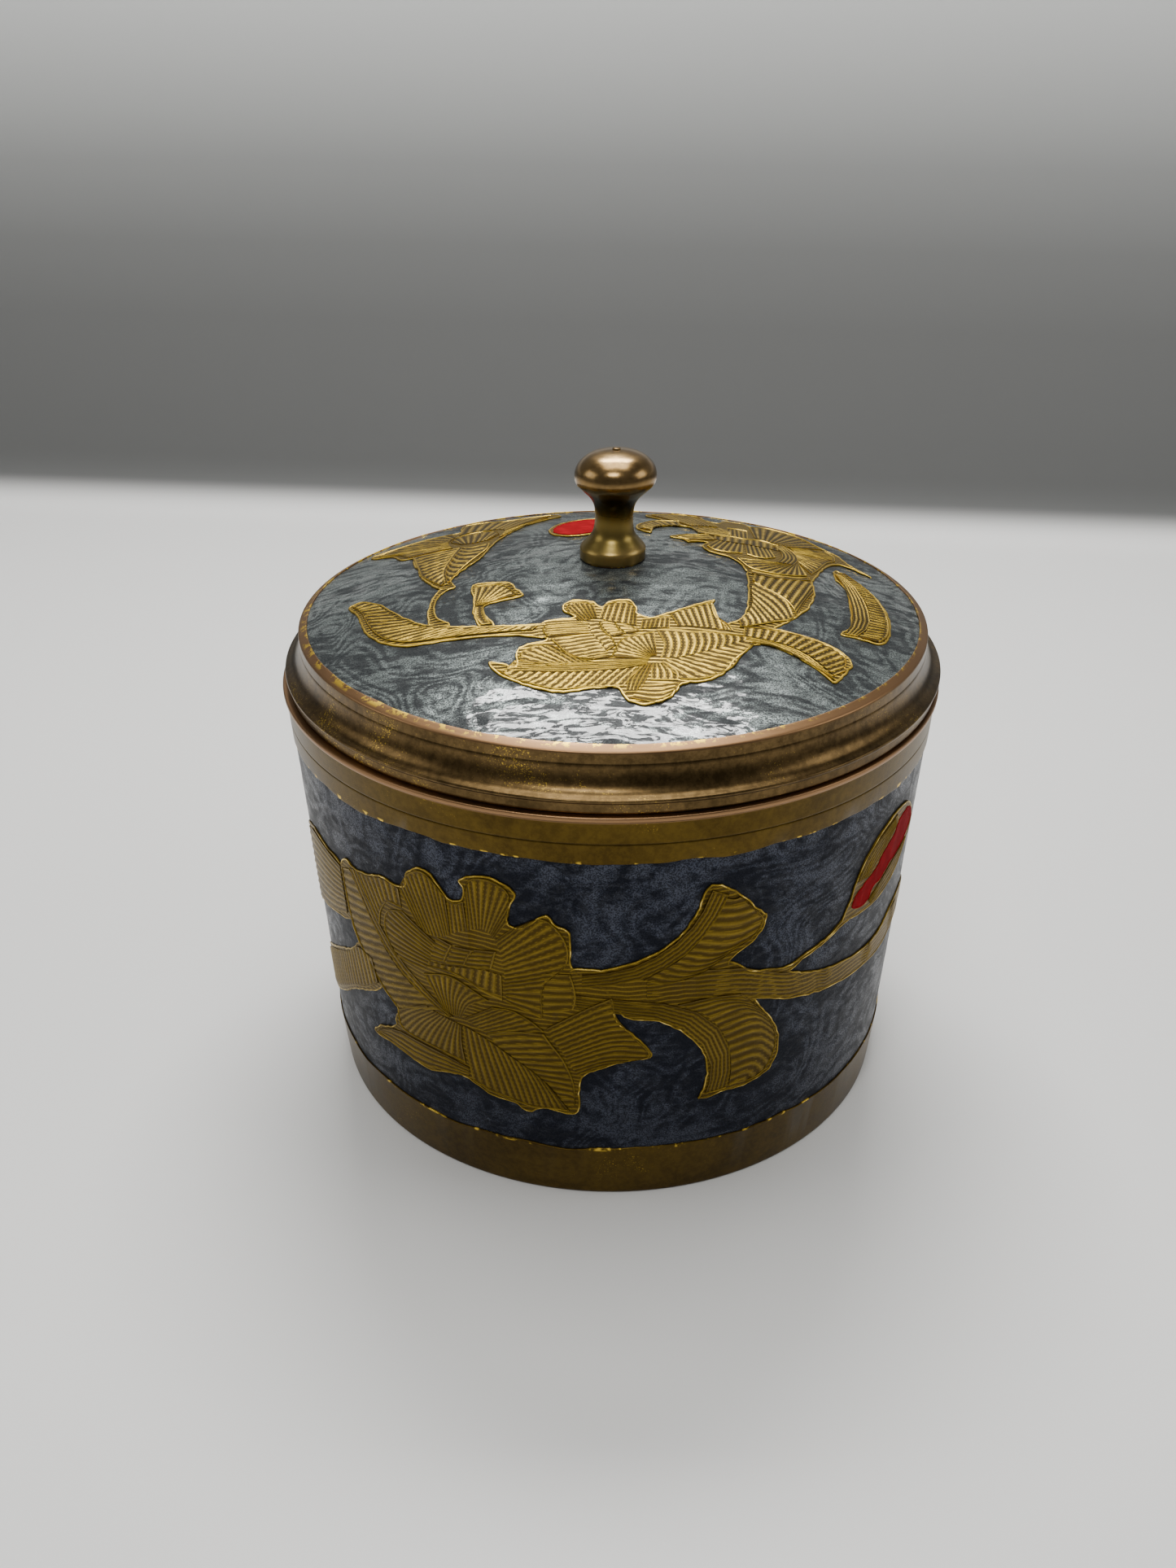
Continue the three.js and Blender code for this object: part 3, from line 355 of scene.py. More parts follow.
LID_RIBS = [
    # near flower, round its hub
    (11, [(7.4, -32.9), (9.5, -32.7), (12, -31.7), (15, -30), (18, -28.2), (20.8, -26.4)],
         [(8, -29), (10.2, -28.8), (12.8, -28.3), (15.6, -27.4), (18.4, -26.6), (21, -25.9)],
         [(6.9, -25.3), (9.6, -24.9), (12.4, -25.1), (15.4, -24.7), (18.2, -25), (21, -25)]),
    (12, [(21, -26.3), (18, -28.3), (15, -30.1), (12, -31.9), (9.6, -32.9), (8, -33.6), (7.4, -34.2)],
         [(22.4, -26.5), (21, -28.8), (19.8, -31), (18.7, -33.4), (16.6, -35.8), (13.6, -37.5),
          (10.4, -38)]),
    (4, [(4.4, -34.8), (6.2, -34.5)], [(2.6, -38), (5.2, -38)], [(2, -41.6), (4, -41.4)]),
    (4, [(6.3, -34.4), (8.2, -34.4)], [(5.9, -36.5), (9.9, -36.3)], [(5.8, -38.5), (9.9, -38.3)]),
    (4, [(4.4, -39.8), (2.8, -42.8)], [(7.3, -39.2), (6.8, -43.6)], [(10.2, -38.8), (9.2, -41.6)]),
    (5, [(5.6, -33.4), (5.2, -34.8)], [(0, -34), (0, -36.4)], [(-8, -34.5), (-8, -36.6)],
        [(-15, -33), (-16.6, -35.6)]),
    (8, [(-9.5, -34.9), (-7.8, -34.7), (-6, -34.5), (-4.6, -34.3), (-3.2, -34.1)],
        [(-14.6, -32.8), (-13.8, -30.6), (-11.5, -29.3), (-9.2, -29.9), (-7.4, -31.8)]),
    (16, [(4.8, -35), (2.2, -35.9), (-1.4, -36.5), (-5, -36.7), (-9, -36.6), (-13, -36.1), (-16.4, -35.2)],
         [(3.2, -37.5), (0.4, -38.2), (-3, -38.7), (-6.6, -39), (-10.6, -38.3), (-14.2, -37.2),
          (-17, -35.2)],
         [(1.6, -40.2), (-1, -40.3), (-4.4, -40.4), (-8, -40.7), (-12, -39.2), (-15.2, -37.4),
          (-17.6, -35)]),
    (9, [(5.6, -33.4), (6, -32.6), (6.8, -32.3)],
        [(-0.2, -33), (1.6, -28.2), (6.6, -25.9)]),
    (7, [(10.4, -24), (12.2, -23.7), (14, -23.7), (15.7, -23.7), (17.4, -23.7)],
        [(9.2, -20.4), (11, -18.9), (13, -17.6), (15, -16.2), (16.2, -15.4)]),
    (3, [(17.5, -23.7), (18.2, -23.8), (19.2, -23.9)], [(16.5, -18.8), (17, -20.4), (18.4, -22.2)]),
    (6, [(9, -24.6), (7.2, -24.8), (5.7, -25.1), (4.4, -25.4)],
        [(9.2, -21.2), (7.8, -21.5), (6.2, -22.2), (4.8, -22.5)]),
    (7, [(-2.1, -22.5), (-0.8, -23.2), (0.8, -23.7), (2.5, -24.1), (3.8, -24.5)],
        [(-1.3, -18.5), (0.2, -17.7), (1.8, -17.3), (3.1, -18.1), (3.9, -20.6)]),
    (7, [(-4.8, -23.8), (-4, -23), (-3.2, -22.6), (-2.4, -22.4)],
        [(-7.6, -19.8), (-6.8, -17.6), (-4.9, -17.5), (-3, -18.3)]),
    (6, [(-4, -23.4), (-3.8, -25), (-3.6, -26.8)], [(-10.6, -23.6), (-11, -25.3), (-10.2, -27.2)]),
    (8, [(-3.4, -27), (-2.6, -28.6), (-1.8, -30), (-0.9, -31.6), (-0.2, -33)],
        [(-9.6, -28), (-8.4, -29.8), (-7.3, -31.6), (-6, -32.9), (-3, -33.7)]),
    (7, [(-3.6, -24), (-3.2, -26.5), (-1.8, -29), (-0.8, -31.5)],
        [(-1.9, -23.6), (-1.3, -26), (0, -28), (0.6, -30)]),
    (5, [(-1.7, -23.6), (-1.1, -25.8), (0.2, -27.6)], [(0.6, -24), (1.2, -25.7), (2.2, -26.8)]),
    (3, [(0.8, -24.2), (1.5, -25.8), (2.5, -26.7)], [(3.3, -24.9), (4, -25.6), (4.8, -26)]),
    # right leaf, twin leaf and crescent leaf
    (15, [(20.6, -25), (24, -25.1), (27, -25.7), (30, -27.1), (32.5, -29.7), (34.2, -32.2)],
         [(21, -22.2), (25, -21.8), (29.4, -22), (33.6, -23.2), (36.6, -26), (36.2, -30.4)]),
    (3, [(20.8, -25.3), (21.4, -26.6)], [(26.2, -25.8), (25.4, -26.8)], [(30.6, -28.2), (29.2, -29)],
        [(34.2, -33.4), (32.6, -32)]),
    (9, [(24.2, -1.9), (26.8, -2.2), (29.6, -1.7), (32.4, -0.6), (34, -1.6), (34, -5.4)],
        [(24, -3.4), (26, -4.7), (28.2, -5.2), (30.6, -5.2), (32.2, -6.8), (32, -10.2)],
        [(23.7, -4.8), (25.2, -7), (27, -8.6), (28.7, -10.6), (29.7, -13.2), (30, -16)]),
    (9, [(24, -5.7), (23.3, -8), (23.1, -11), (22.9, -14), (21.9, -17.5), (20.2, -20.6)],
        [(28.4, -10.2), (26.8, -12.4), (25.2, -15), (24.2, -17.5), (22.6, -19.8), (20.4, -21.4)],
        [(29.5, -16.8), (28.6, -17.9), (27, -18.8), (25, -20), (22.6, -21.4), (20.2, -22.6)]),
    (1, [(23.9, -0.2), (23.8, -1.6)], [(27, -0.6), (27, -2)], [(31, 0.1), (31, -1.3)],
        [(34.2, 1.8), (34.2, 0.4)]),
    (4, [(39.4, 7), (40.4, 7.4)], [(40.1, 2), (42.1, 2.4)], [(40.3, -6), (43, -6)],
        [(39.5, -14), (42.3, -14)], [(37.6, -18.8), (39.6, -18.8)]),
    (28, [(40.3, 8.6), (41.4, 5), (42.6, 0), (43.2, -6), (42.7, -12), (41.2, -17), (40.2, -18.8)],
         [(41.3, 8.6), (43, 5.4), (45.2, 0), (46.2, -6), (46, -12), (45, -16.4), (43.4, -19)]),
    # left leaf and the small fan on its stalk
    (27, [(-42.8, -5.4), (-40, -7.8), (-38, -11), (-36.4, -13.8), (-34.8, -16.2), (-33.3, -17.8),
          (-31.4, -19.4), (-29, -20.8), (-26.3, -21.8), (-23, -22.7), (-20, -23.2), (-15.5, -23.7),
          (-11.8, -24)],
         [(-44.2, -6.4), (-43.2, -8), (-42.1, -10), (-41.3, -12.3), (-40.5, -14.6), (-39.5, -17),
          (-38.2, -19.4), (-36.3, -21.8), (-33, -23.7), (-29, -24.3), (-24.5, -24.5), (-18, -24.8),
          (-12.6, -25.1)]),
    (7, [(-22.5, -15.1), (-21.8, -15.4), (-21.2, -15.5)],
        [(-22.9, -8), (-18.6, -8.8), (-15.6, -13.2)]),
    (1, [(-22.3, -15.9), (-21, -16)], [(-22.1, -19), (-20.5, -19.2)], [(-20.8, -22), (-19.4, -22)]),
    # flower at the left
    (11, [(-27.8, 14.6), (-28.2, 12.5), (-28.6, 10), (-29, 7), (-29.2, 4), (-29.2, 1.5), (-29, -1),
          (-28.4, -3.6)],
         [(-36.4, 14), (-35.6, 10.8), (-34.9, 7.5), (-34, 4.3), (-33.3, 1.3), (-31.9, -1.2), (-30.4, -3.5),
          (-29, -5.4)]),
    (9, [(-27.2, 14.6), (-27.6, 12.6), (-28, 10.4), (-28.5, 8), (-28.8, 5.5), (-29, 3), (-28.9, 0),
         (-28.5, -2.6)],
        [(-25.2, 13.4), (-25.8, 10.8), (-26.6, 8.2), (-27.4, 5.7), (-27.9, 3.2), (-28.2, 0.8),
         (-28.3, -1.8), (-28.2, -3.8)],
        [(-22.2, 14.6), (-22.4, 11), (-23.6, 7.4), (-24.9, 4.4), (-25.8, 2), (-26.6, -0.3), (-27.4, -2.6),
         (-27.9, -4.6)]),
    (1, [(-27.9, 14.8), (-27.1, 14.8)], [(-29, 7), (-28.3, 7)], [(-29.4, 1), (-28.8, 1)],
        [(-28.4, -5.2), (-27.9, -5.2)]),
    (8, [(-28, 17.5), (-26.5, 17), (-24.5, 17), (-22.8, 17.5)],
        [(-30, 20.5), (-29.2, 24), (-26.8, 26.2), (-24.4, 26.6), (-22.2, 25.2), (-21, 21.5)]),
    (11, [(-29, 15.2), (-29.6, 16.5), (-30.1, 18.5), (-30.4, 20.5), (-30.2, 22.5), (-29.6, 25)],
         [(-37.2, 14.6), (-39.6, 18.4), (-43.6, 21), (-40.2, 25), (-35, 28), (-30.4, 28.9)]),
    (8, [(-29, 26.6), (-27, 27.3), (-25, 27.7), (-23, 27.4), (-21, 26.5), (-19.8, 24.5)],
        [(-28.8, 38.6), (-26.6, 39.2), (-24, 39), (-20.8, 37.4), (-16, 39.6), (-12, 41.2)]),
    (4, [(-20, 24), (-20.3, 21.5), (-20.8, 18.5)], [(-12.6, 36.8), (-16, 29.4), (-19.4, 21)]),
    # flower at the right
    (6, [(19, 15.3), (20.5, 15.1), (22, 14.9), (23.6, 14.9)],
        [(16.8, 10), (18.2, 8), (20.3, 7.8), (23, 8.6)]),
    (6, [(24, 15), (25.5, 15), (27, 14.8), (28.5, 14.5)], [(23.8, 8.4), (25.6, 7.6), (27.4, 8), (29, 9.5)]),
    (10, [(29.4, 6.7), (30.2, 6.4), (31, 6.5), (31.9, 7), (32.6, 7.8), (33, 9)],
         [(21.8, 5), (23.8, 0.9), (26.2, 0.2), (28.8, 0.2), (31.4, 0.9), (33.8, 2.2)]),
    (8, [(33, 9), (33.4, 11), (33.4, 13), (33, 15), (32.3, 17)],
        [(34.8, 3.6), (36.4, 7), (37.6, 10), (38.8, 13), (40.4, 15.2)]),
    (4, [(29, 7), (32, 7.2)], [(30.3, 10.5), (33.3, 11)], [(30.4, 14.5), (33, 15.5)],
        [(29.3, 18), (31, 20.5)]),
    (6, [(20.5, 18.5), (21, 20), (21.8, 21.8), (22, 24)],
        [(15.8, 20), (15.4, 23.4), (16.2, 26), (19.8, 28)]),
    (5, [(21, 21.2), (23, 20.8), (25, 20.6)], [(21.8, 29), (23.5, 29.5), (25.6, 29)]),
    (10, [(26.5, 22.5), (28, 21.8), (29.8, 21), (31.3, 20.3), (32.3, 19.3)],
         [(26.4, 35), (30, 37.4), (34.5, 33.8), (37.4, 28), (39.4, 23.6)]),
    (7, [(32.6, 19), (33, 17.5), (33.4, 15.8)], [(39.8, 22.6), (41, 19), (40.6, 15.6)]),
    (9, [(14.5, 27), (16.5, 28.2), (18.5, 28.8), (20.2, 29)],
        [(7.6, 38.6), (10.5, 42.4), (14.5, 44.2), (17.2, 40)]),
    (9, [(7, 18.8), (7.7, 22), (9.8, 25), (12.8, 26.2)], [(5, 20.2), (5.2, 24.8), (8, 29.8), (12.6, 31.4)]),
    (4, [(17.6, 19.2), (18.2, 17), (18.4, 15.2)], [(13.6, 17.4), (11.6, 14.8), (13.6, 12.8)]),
    (9, [(18.5, 16), (21, 15.5), (24, 15.5), (27, 15.3), (30, 14.8)],
        [(18.8, 19.5), (21.5, 20.3), (24.5, 20), (27.5, 21), (30.5, 19)]),
]


def smooth_curve(points, closed, steps=6):
    """A centripetal curve through points in the plane, as a list of points."""
    least = 1e-4
    spots = [Vector(p) for p in points]
    count = len(spots)
    if closed:
        spans = [[spots[(i + k) % count] for k in (-1, 0, 1, 2)] for i in range(count)]
    else:
        padded = [2 * spots[0] - spots[1], *spots, 2 * spots[-1] - spots[-2]]
        spans = [padded[i:i + 4] for i in range(count - 1)]
    curve = []
    for a, b, c, d in spans:
        before = max(least, math.sqrt((b - a).length))
        along = max(least, math.sqrt((c - b).length))
        after = max(least, math.sqrt((d - c).length))
        leave = ((b - a) / before - (c - a) / (before + along) + (c - b) / along) * along
        reach = ((c - b) / along - (d - b) / (along + after) + (d - c) / after) * along
        for i in range(steps):
            t = i / steps
            curve.append(
                (2 * t**3 - 3 * t**2 + 1) * b + (t**3 - 2 * t**2 + t) * leave
                + (3 * t**2 - 2 * t**3) * c + (t**3 - t**2) * reach
            )
    if not closed:
        curve.append(spots[-1])
    return curve


def drum_radius(height):
    """Radius of the drum's brass face at a height."""
    sizes = bpy.context.scene.box_drum
    if height < sizes.band_height:
        return sizes.foot_radius + (sizes.band_radius - sizes.foot_radius) * height / sizes.band_height
    share = (height - sizes.band_height) / (sizes.height - sizes.band_height)
    return sizes.band_radius + (sizes.top_radius - sizes.band_radius) * share


DOME_POWER = 1.6


def dome_height(radius):
    """Height of the lid's brass dome at a radius."""
    sizes = bpy.context.scene.box_lid
    edge = DRUM_HIGH.z + sizes.rim_height + sizes.enamel_rise
    return edge + sizes.dome_rise * (1 - (radius / sizes.enamel_radius) ** DOME_POWER)


def on_drum(x, y, lift, turn):
    """Where a point of the unrolled drum lies, lifted off the brass; millimetres in, metres out."""
    angle = x / DRAWN_RADIUS + turn
    radius = drum_radius(y * MM) + lift * MM
    return Vector((radius * math.sin(angle), -radius * math.cos(angle), y * MM))


def on_lid(x, y, lift, turn):
    """Where a point of the lid's drawing lies, as on_drum does, but with nothing to turn."""
    shift = bpy.context.scene.box_lid.shift
    return Vector((x * MM + shift, y * MM, dome_height(math.hypot(x, y) * MM) + lift * MM))


# Edges sharper than this are shaded sharp, and vertices nearer than this, in metres, are merged
CREASE = math.radians(38)
MERGE_DISTANCE = 1e-6


def add_piece(bm, name, material, replaces=()):
    """Closes a mesh in progress, puts it in the scene on the box's one body, and returns its object."""
    mesh = bpy.data.meshes.new(name)
    bm.to_mesh(mesh)
    bm.free()
    mesh.shade_smooth()
    mesh.set_sharp_from_angle(angle=CREASE)
    mesh.materials.append(material)
    piece = bpy.data.objects.new(name, mesh)
    bpy.context.scene.collection.objects.link(piece)
    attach(piece, "root")
    if replaces:
        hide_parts(*replaces)
    return piece


def rounded(corners, steps=4):
    """A profile through corners, each (radius, height) or (radius, height, rounding), as points."""
    points = []
    for i, corner in enumerate(corners):
        spot = Vector(corner[:2])
        reach = corner[2] if len(corner) > 2 else 0
        if not reach or i in (0, len(corners) - 1):
            points.append(spot)
            continue
        start = spot + (Vector(corners[i - 1][:2]) - spot).normalized() * reach
        end = spot + (Vector(corners[i + 1][:2]) - spot).normalized() * reach
        for k in range(steps + 1):
            t = k / steps
            points.append((1 - t) ** 2 * start + 2 * t * (1 - t) * spot + t**2 * end)
    return points


def held(points):
    """A profile with a point close to each end of its long straights, which keeps them flat to the eye."""
    hold = 0.00025
    result = [points[0]]
    for a, b in zip(points, points[1:]):
        if (b - a).length > 4 * hold:
            along_it = (b - a).normalized() * hold
            result += [a + along_it, b - along_it]
        result.append(b)
    return result


def spun(points, closed, turns=None):
    """A mesh in progress, turned round Z from a profile; an open one begins and ends on the axis."""
    bm = bmesh.new()
    verts = [bm.verts.new((r, 0, z)) for r, z in held(points)]
    edges = [bm.edges.new(pair) for pair in zip(verts, verts[1:])]
    if closed:
        edges.append(bm.edges.new((verts[-1], verts[0])))
    bmesh.ops.spin(
        bm, geom=verts + edges, cent=(0, 0, 0), axis=(0, 0, 1), angle=2 * math.pi,
        steps=turns or bpy.context.scene.box_relief.turns, use_merge=True, use_duplicate=False,
    )
    bmesh.ops.remove_doubles(bm, verts=bm.verts, dist=MERGE_DISTANCE)
    bmesh.ops.recalc_face_normals(bm, faces=bm.faces)
    return bm


class Wire:
    """One output in a material's nodes, with Python's operators as its maths."""

    def __init__(self, finish, socket):
        self.finish = finish
        self.socket = socket

    def maths(self, operation, *values):
        """The output of a Math node on one or two values."""
        return self.finish.node("ShaderNodeMath", {"operation": operation}, dict(enumerate(values)))

    def __add__(self, other):
        return self.maths("ADD", self, other)

    def __radd__(self, other):
        return self.maths("ADD", other, self)

    def __sub__(self, other):
        return self.maths("SUBTRACT", self, other)

    def __rsub__(self, other):
        return self.maths("SUBTRACT", other, self)

    def __mul__(self, other):
        return self.maths("MULTIPLY", self, other)

    def __rmul__(self, other):
        return self.maths("MULTIPLY", other, self)

    def size(self):
        """This value without its sign."""
        return self.maths("ABSOLUTE", self)

    def sine(self):
        """The sine of this value."""
        return self.maths("SINE", self)

    def within(self, low, high):
        """How far this value is on its way from low to high, smoothly, from 0 to 1."""
        settings = {"interpolation_type": "SMOOTHSTEP"}
        return self.finish.node("ShaderNodeMapRange", settings, {0: self, 1: low, 2: high, 3: 0.0, 4: 1.0})


class Finish:
    """One material in the making, with its shader and its output."""

    def __init__(self, name, **constants):
        self.material = bpy.data.materials.new(name)
        self.material.use_nodes = True
        self.tree = self.material.node_tree
        self.tree.nodes.clear()
        output = self.tree.nodes.new("ShaderNodeOutputMaterial")
        self.shader = self.tree.nodes.new("ShaderNodeBsdfPrincipled")
        self.tree.links.new(self.shader.outputs[0], output.inputs["Surface"])
        self.sockets(self.shader, constants)
        self.place = self.node("ShaderNodeTexCoord", {}, {}, "Object")

    def sockets(self, node, values):
        """Sets or links the sockets of a node by name or number."""
        for key, value in values.items():
            named = isinstance(key, str) and key != "IOR"
            socket = node.inputs[key.replace("_", " ").title() if named else key]
            if isinstance(value, Wire):
                self.tree.links.new(value.socket, socket)
            elif socket.type == "RGBA":
                socket.default_value = (*value[:3], 1.0)
            else:
                socket.default_value = value

    def node(self, kind, settings, values, output=0):
        """Adds a node with its settings and its sockets' values or links, and gives one output."""
        node = self.tree.nodes.new(kind)
        stops = settings.pop("stops", None)
        for key, value in settings.items():
            setattr(node, key, value)
        if stops:
            ramp = node.color_ramp
            while len(ramp.elements) < len(stops):
                ramp.elements.new(1.0)
            for element, (position, shade) in zip(ramp.elements, stops):
                element.position = position
                element.color = (*shade, 1.0) if hasattr(shade, "__len__") else (shade, shade, shade, 1.0)
        self.sockets(node, values)
        return Wire(self, node.outputs[output])

    def noise(self, scale, detail=2.0, roughness=0.5, distortion=0.0, place=None):
        """Soft noise from 0 to 1, its features about one part in scale of a metre."""
        values = {
            "vector": place or self.place, "scale": scale, "detail": detail,
            "roughness": roughness, "distortion": distortion,
        }
        return self.node("ShaderNodeTexNoise", {}, values)

    def ramp(self, value, *stops):
        """A value turned into a shade between stops."""
        return self.node("ShaderNodeValToRGB", {"stops": stops}, {0: value})

    def mix(self, share, first, second):
        """Colour between two, by a share."""
        return self.node("ShaderNodeMix", {"data_type": "RGBA"}, {0: share, 6: first, 7: second}, 2)

    def axis(self, name):
        """One coordinate of the place on the object."""
        return self.node("ShaderNodeSeparateXYZ", {}, {0: self.place}, name)

    def reach(self):
        """Distance of the place on the object from the axis."""
        flat = self.node("ShaderNodeVectorMath", {"operation": "MULTIPLY"}, {0: self.place, 1: (1, 1, 0)})
        return self.node("ShaderNodeVectorMath", {"operation": "LENGTH"}, {0: flat}, "Value")

    def stretched(self, scale):
        """The place on the object, scaled by axis."""
        return self.node("ShaderNodeMapping", {}, {"vector": self.place, "scale": scale})

    def bump(self, height, strength, distance):
        """Normals from a height."""
        return self.node(
            "ShaderNodeBump", {}, {"height": height, "strength": strength, "distance": distance}
        )

    def give(self, **values):
        """Sets or links the shader's sockets, and returns the material."""
        self.sockets(self.shader, values)
        return self.material


def scaled(shade, share):
    """A colour made darker or lighter."""
    return tuple(min(1.0, c * share) for c in shade)


def relief_brass(name, colours, painted_light, contrast, across):
    """Chased brass: dark in its grooves, bright on its ribs, brightest on its edges, hatched across the
    named axis where it has no ribs; its pale shades are scaled by a painted-light share, low as painted
    shade on the drum's copy and full on the lid's lit copy, and its grooves by contrast, also lower on the
    drum's copy as painted shade."""
    finish = Finish(name, metallic=1.0)
    relief = finish.node("ShaderNodeAttribute", {"attribute_name": "relief"}, {}, "Fac")
    grain = finish.noise(3900, 3, 0.7)
    stain = finish.noise(160, 4, 0.6)
    unchased = relief.within(0.04, 0.09) * (1.0 - relief.within(0.12, 0.3))
    radians_per_metre = 7400.0
    run = finish.axis(across) * radians_per_metre + finish.noise(150, 2, 0.5) * 14.0
    hatch = run.sine().within(0.1, 0.95) * unchased * 0.4
    worn = relief * 0.92 + hatch + (grain - 0.5) * 0.4 + (stain - 0.5) * 0.3 + 0.05 - 0.16 * contrast
    # Every shade here is scaled by the painted-light share: on the drum's copy this is painted shade.
    groove = scaled(colours.aged_brass, painted_light * (1 - 0.86 * contrast))
    rib = scaled(colours.bright_brass, painted_light * (0.4 + 0.5 * contrast))
    bright = scaled(colours.bright_brass, painted_light)
    edge = scaled(colours.worn_brass, min(1.0, painted_light + 0.5))
    shade = finish.ramp(worn, (0.05, groove), (0.6, rib), (0.78, bright), (0.93, edge))
    return finish.give(
        base_color=shade,
        roughness=0.58 - 0.16 * contrast - worn * 0.14,
        normal=finish.bump(grain, 0.4, 0.0002),
    )


def turned_brass(name, film, body, rough, wear):
    """Turned brass under a brown film, with fine lathe lines and speckles rubbed bright: the finish so
    far, its ground colour, where it is rubbed, its fine heights and its roughness."""
    finish = Finish(name, metallic=1.0)
    lines = finish.noise(1.0, 3, 0.7, place=finish.stretched((120, 120, 6000)))
    stain = finish.noise(70, 5, 0.62, 0.5)
    grain = finish.noise(3600, 2, 0.7)
    rubbed = (stain * 0.62 + grain * 0.6 + lines * 0.1).within(0.83 - wear, 0.96 - wear)
    spots = finish.noise(900, 4, 0.7)
    ground = finish.mix(stain.within(0.4, 0.6) * 0.55 + spots.within(0.38, 0.62) * 0.45, film, body)
    return finish, ground, rubbed, lines * 0.8 + grain * 0.6, rough + stain * 0.14 - rubbed * 0.06


def drum_brass(colours):
    """Brass of the drum's bands, bright in dashes along the enamel and redder at its lip."""
    finish, ground, rubbed, height, rough = turned_brass(
        "drum_brass", film=colours.dark_brass, body=scaled(colours.aged_brass, 0.33), rough=0.3, wear=0.0
    )
    sizes = bpy.context.scene.box_drum
    lip_low = sizes.height - 0.0013
    lip_high = sizes.height - 0.001
    z = finish.axis("Z")
    top = (z - (sizes.height - sizes.top_margin)).size()
    foot = (z - sizes.band_height).size()
    near = 1.0 - top.maths("MINIMUM", top, foot).within(0.0001, 0.0005)
    dashes = finish.noise(420, 2, 0.6).within(0.55, 0.66)
    lip = z.within(lip_low, lip_high)
    shade = finish.mix(lip, finish.mix(rubbed * 0.8, ground, colours.bright_brass), colours.copper_brass)
    return finish.give(
        base_color=finish.mix(near * dashes, shade, colours.bright_brass),
        roughness=rough,
        normal=finish.bump(height, 0.14, 0.0001),
    )


def lid_brass(colours):
    """Brass of the lid's mouldings, with a redder rim that is chipped bright at the enamel."""
    finish, ground, rubbed, height, rough = turned_brass(
        "lid_brass", film=scaled(colours.brown_brass, 0.3), body=scaled(colours.brown_brass, 0.75),
        rough=0.24, wear=0.065,
    )
    lid = bpy.context.scene.box_lid
    rim_top = DRUM_HIGH.z + lid.rim_height
    rim = finish.axis("Z").within(rim_top - 0.0004, rim_top + 0.0001)
    chips = finish.noise(300, 4, 0.75).within(0.51, 0.56)
    near = finish.reach().within(lid.enamel_radius + 0.0009, lid.enamel_radius + 0.0002)
    shade = finish.mix(rim, finish.mix(rubbed, ground, colours.bright_brass), colours.copper_brass)
    return finish.give(
        base_color=finish.mix(rim * near * chips, shade, colours.bright_brass),
        roughness=rough + rim * 0.08,
        normal=finish.bump(height, 0.12, 0.0001),
    )


def knob_brass(colours):
    """Brass of the knob, smooth and brown above a speckled foot, with painted shade on its slender neck."""
    finish, ground, rubbed, height, rough = turned_brass(
        "knob_brass", film=colours.brown_brass, body=scaled(colours.brown_brass, 1.6), rough=0.17, wear=0.0
    )
    foot_end = KNOB_LOW.z + 0.0075
    fade = 0.002
    foot = finish.axis("Z").within(foot_end + fade, foot_end - fade)
    # The slender neck under the head is darkened to near-black brass: painted shade, the dark lid and room
    # that the neck reflects.
    slender = finish.reach().within(0.0066, 0.0046)
    neck = slender * finish.axis("Z").within(foot_end + 0.0052, foot_end + 0.0034)
    shade = finish.mix(neck, ground, scaled(colours.aged_brass, 0.18))
    return finish.give(
        base_color=finish.mix(foot * (0.2 + rubbed * 0.7), shade, colours.worn_brass),
        roughness=rough + foot * 0.1,
        normal=finish.bump(height, 0.08, 0.0001),
    )


def pearl_enamel(name, body, pearl, contrast, run, comb, gloss):
    """Glossy dark enamel: brush streaks that swirl and darken towards the brass, and a pearly grain.
    Run says how fast the streaks change along each axis, and comb how closely their lines lie."""
    finish = Finish(name, coat_roughness=0.04, IOR=1.12)
    hug = finish.node("ShaderNodeAttribute", {"attribute_name": "hug"}, {}, "Fac")
    swirl = finish.noise(36, 2, 0.5, 0.9)
    fine = finish.noise(1.0, 4, 0.72, 1.2, place=finish.stretched(run))
    streak = finish.noise(1.0, 3, 0.7, 1.4, place=finish.stretched([2.4 * size for size in run]))
    grain = finish.noise(4200, 1, 0.6)
    cloud = finish.noise(55, 4, 0.6, 1.0)
    path = swirl * comb + fine * 4.0 + hug * 3.0
    comb_lines = path.sine()
    tone = cloud * 0.35 + fine * 0.4 + streak * 0.25 + comb_lines * 0.042 - hug * 0.07
    pale = tone.within(0.5 - contrast, 0.52 + contrast)
    flecks = (0.12 + pale * 0.88) * (0.2 + grain.within(0.36, 0.66) * 0.95)
    return finish.give(
        base_color=finish.mix(flecks, body, pearl),
        metallic=0.1 + flecks * 0.6,
        roughness=0.42 - flecks * 0.1,
        coat_weight=(0.04 + (streak * 0.8 + tone * 0.2).within(0.48, 0.515) * 0.96) * gloss,
        normal=finish.bump(fine * 0.6 + grain * 0.5, 0.2, 0.0003),
    )


def red_glass(colours):
    """Glossy red enamel, a little uneven."""
    finish = Finish("red_glass", coat_weight=0.03, coat_roughness=0.1, roughness=0.45, IOR=1.01)
    cloud = finish.noise(420, 3, 0.6)
    return finish.give(
        base_color=finish.mix(cloud.within(0.4, 0.75), colours.red_enamel, scaled(colours.red_enamel, 1.4)),
        normal=finish.bump(cloud, 0.15, 0.0005),
    )


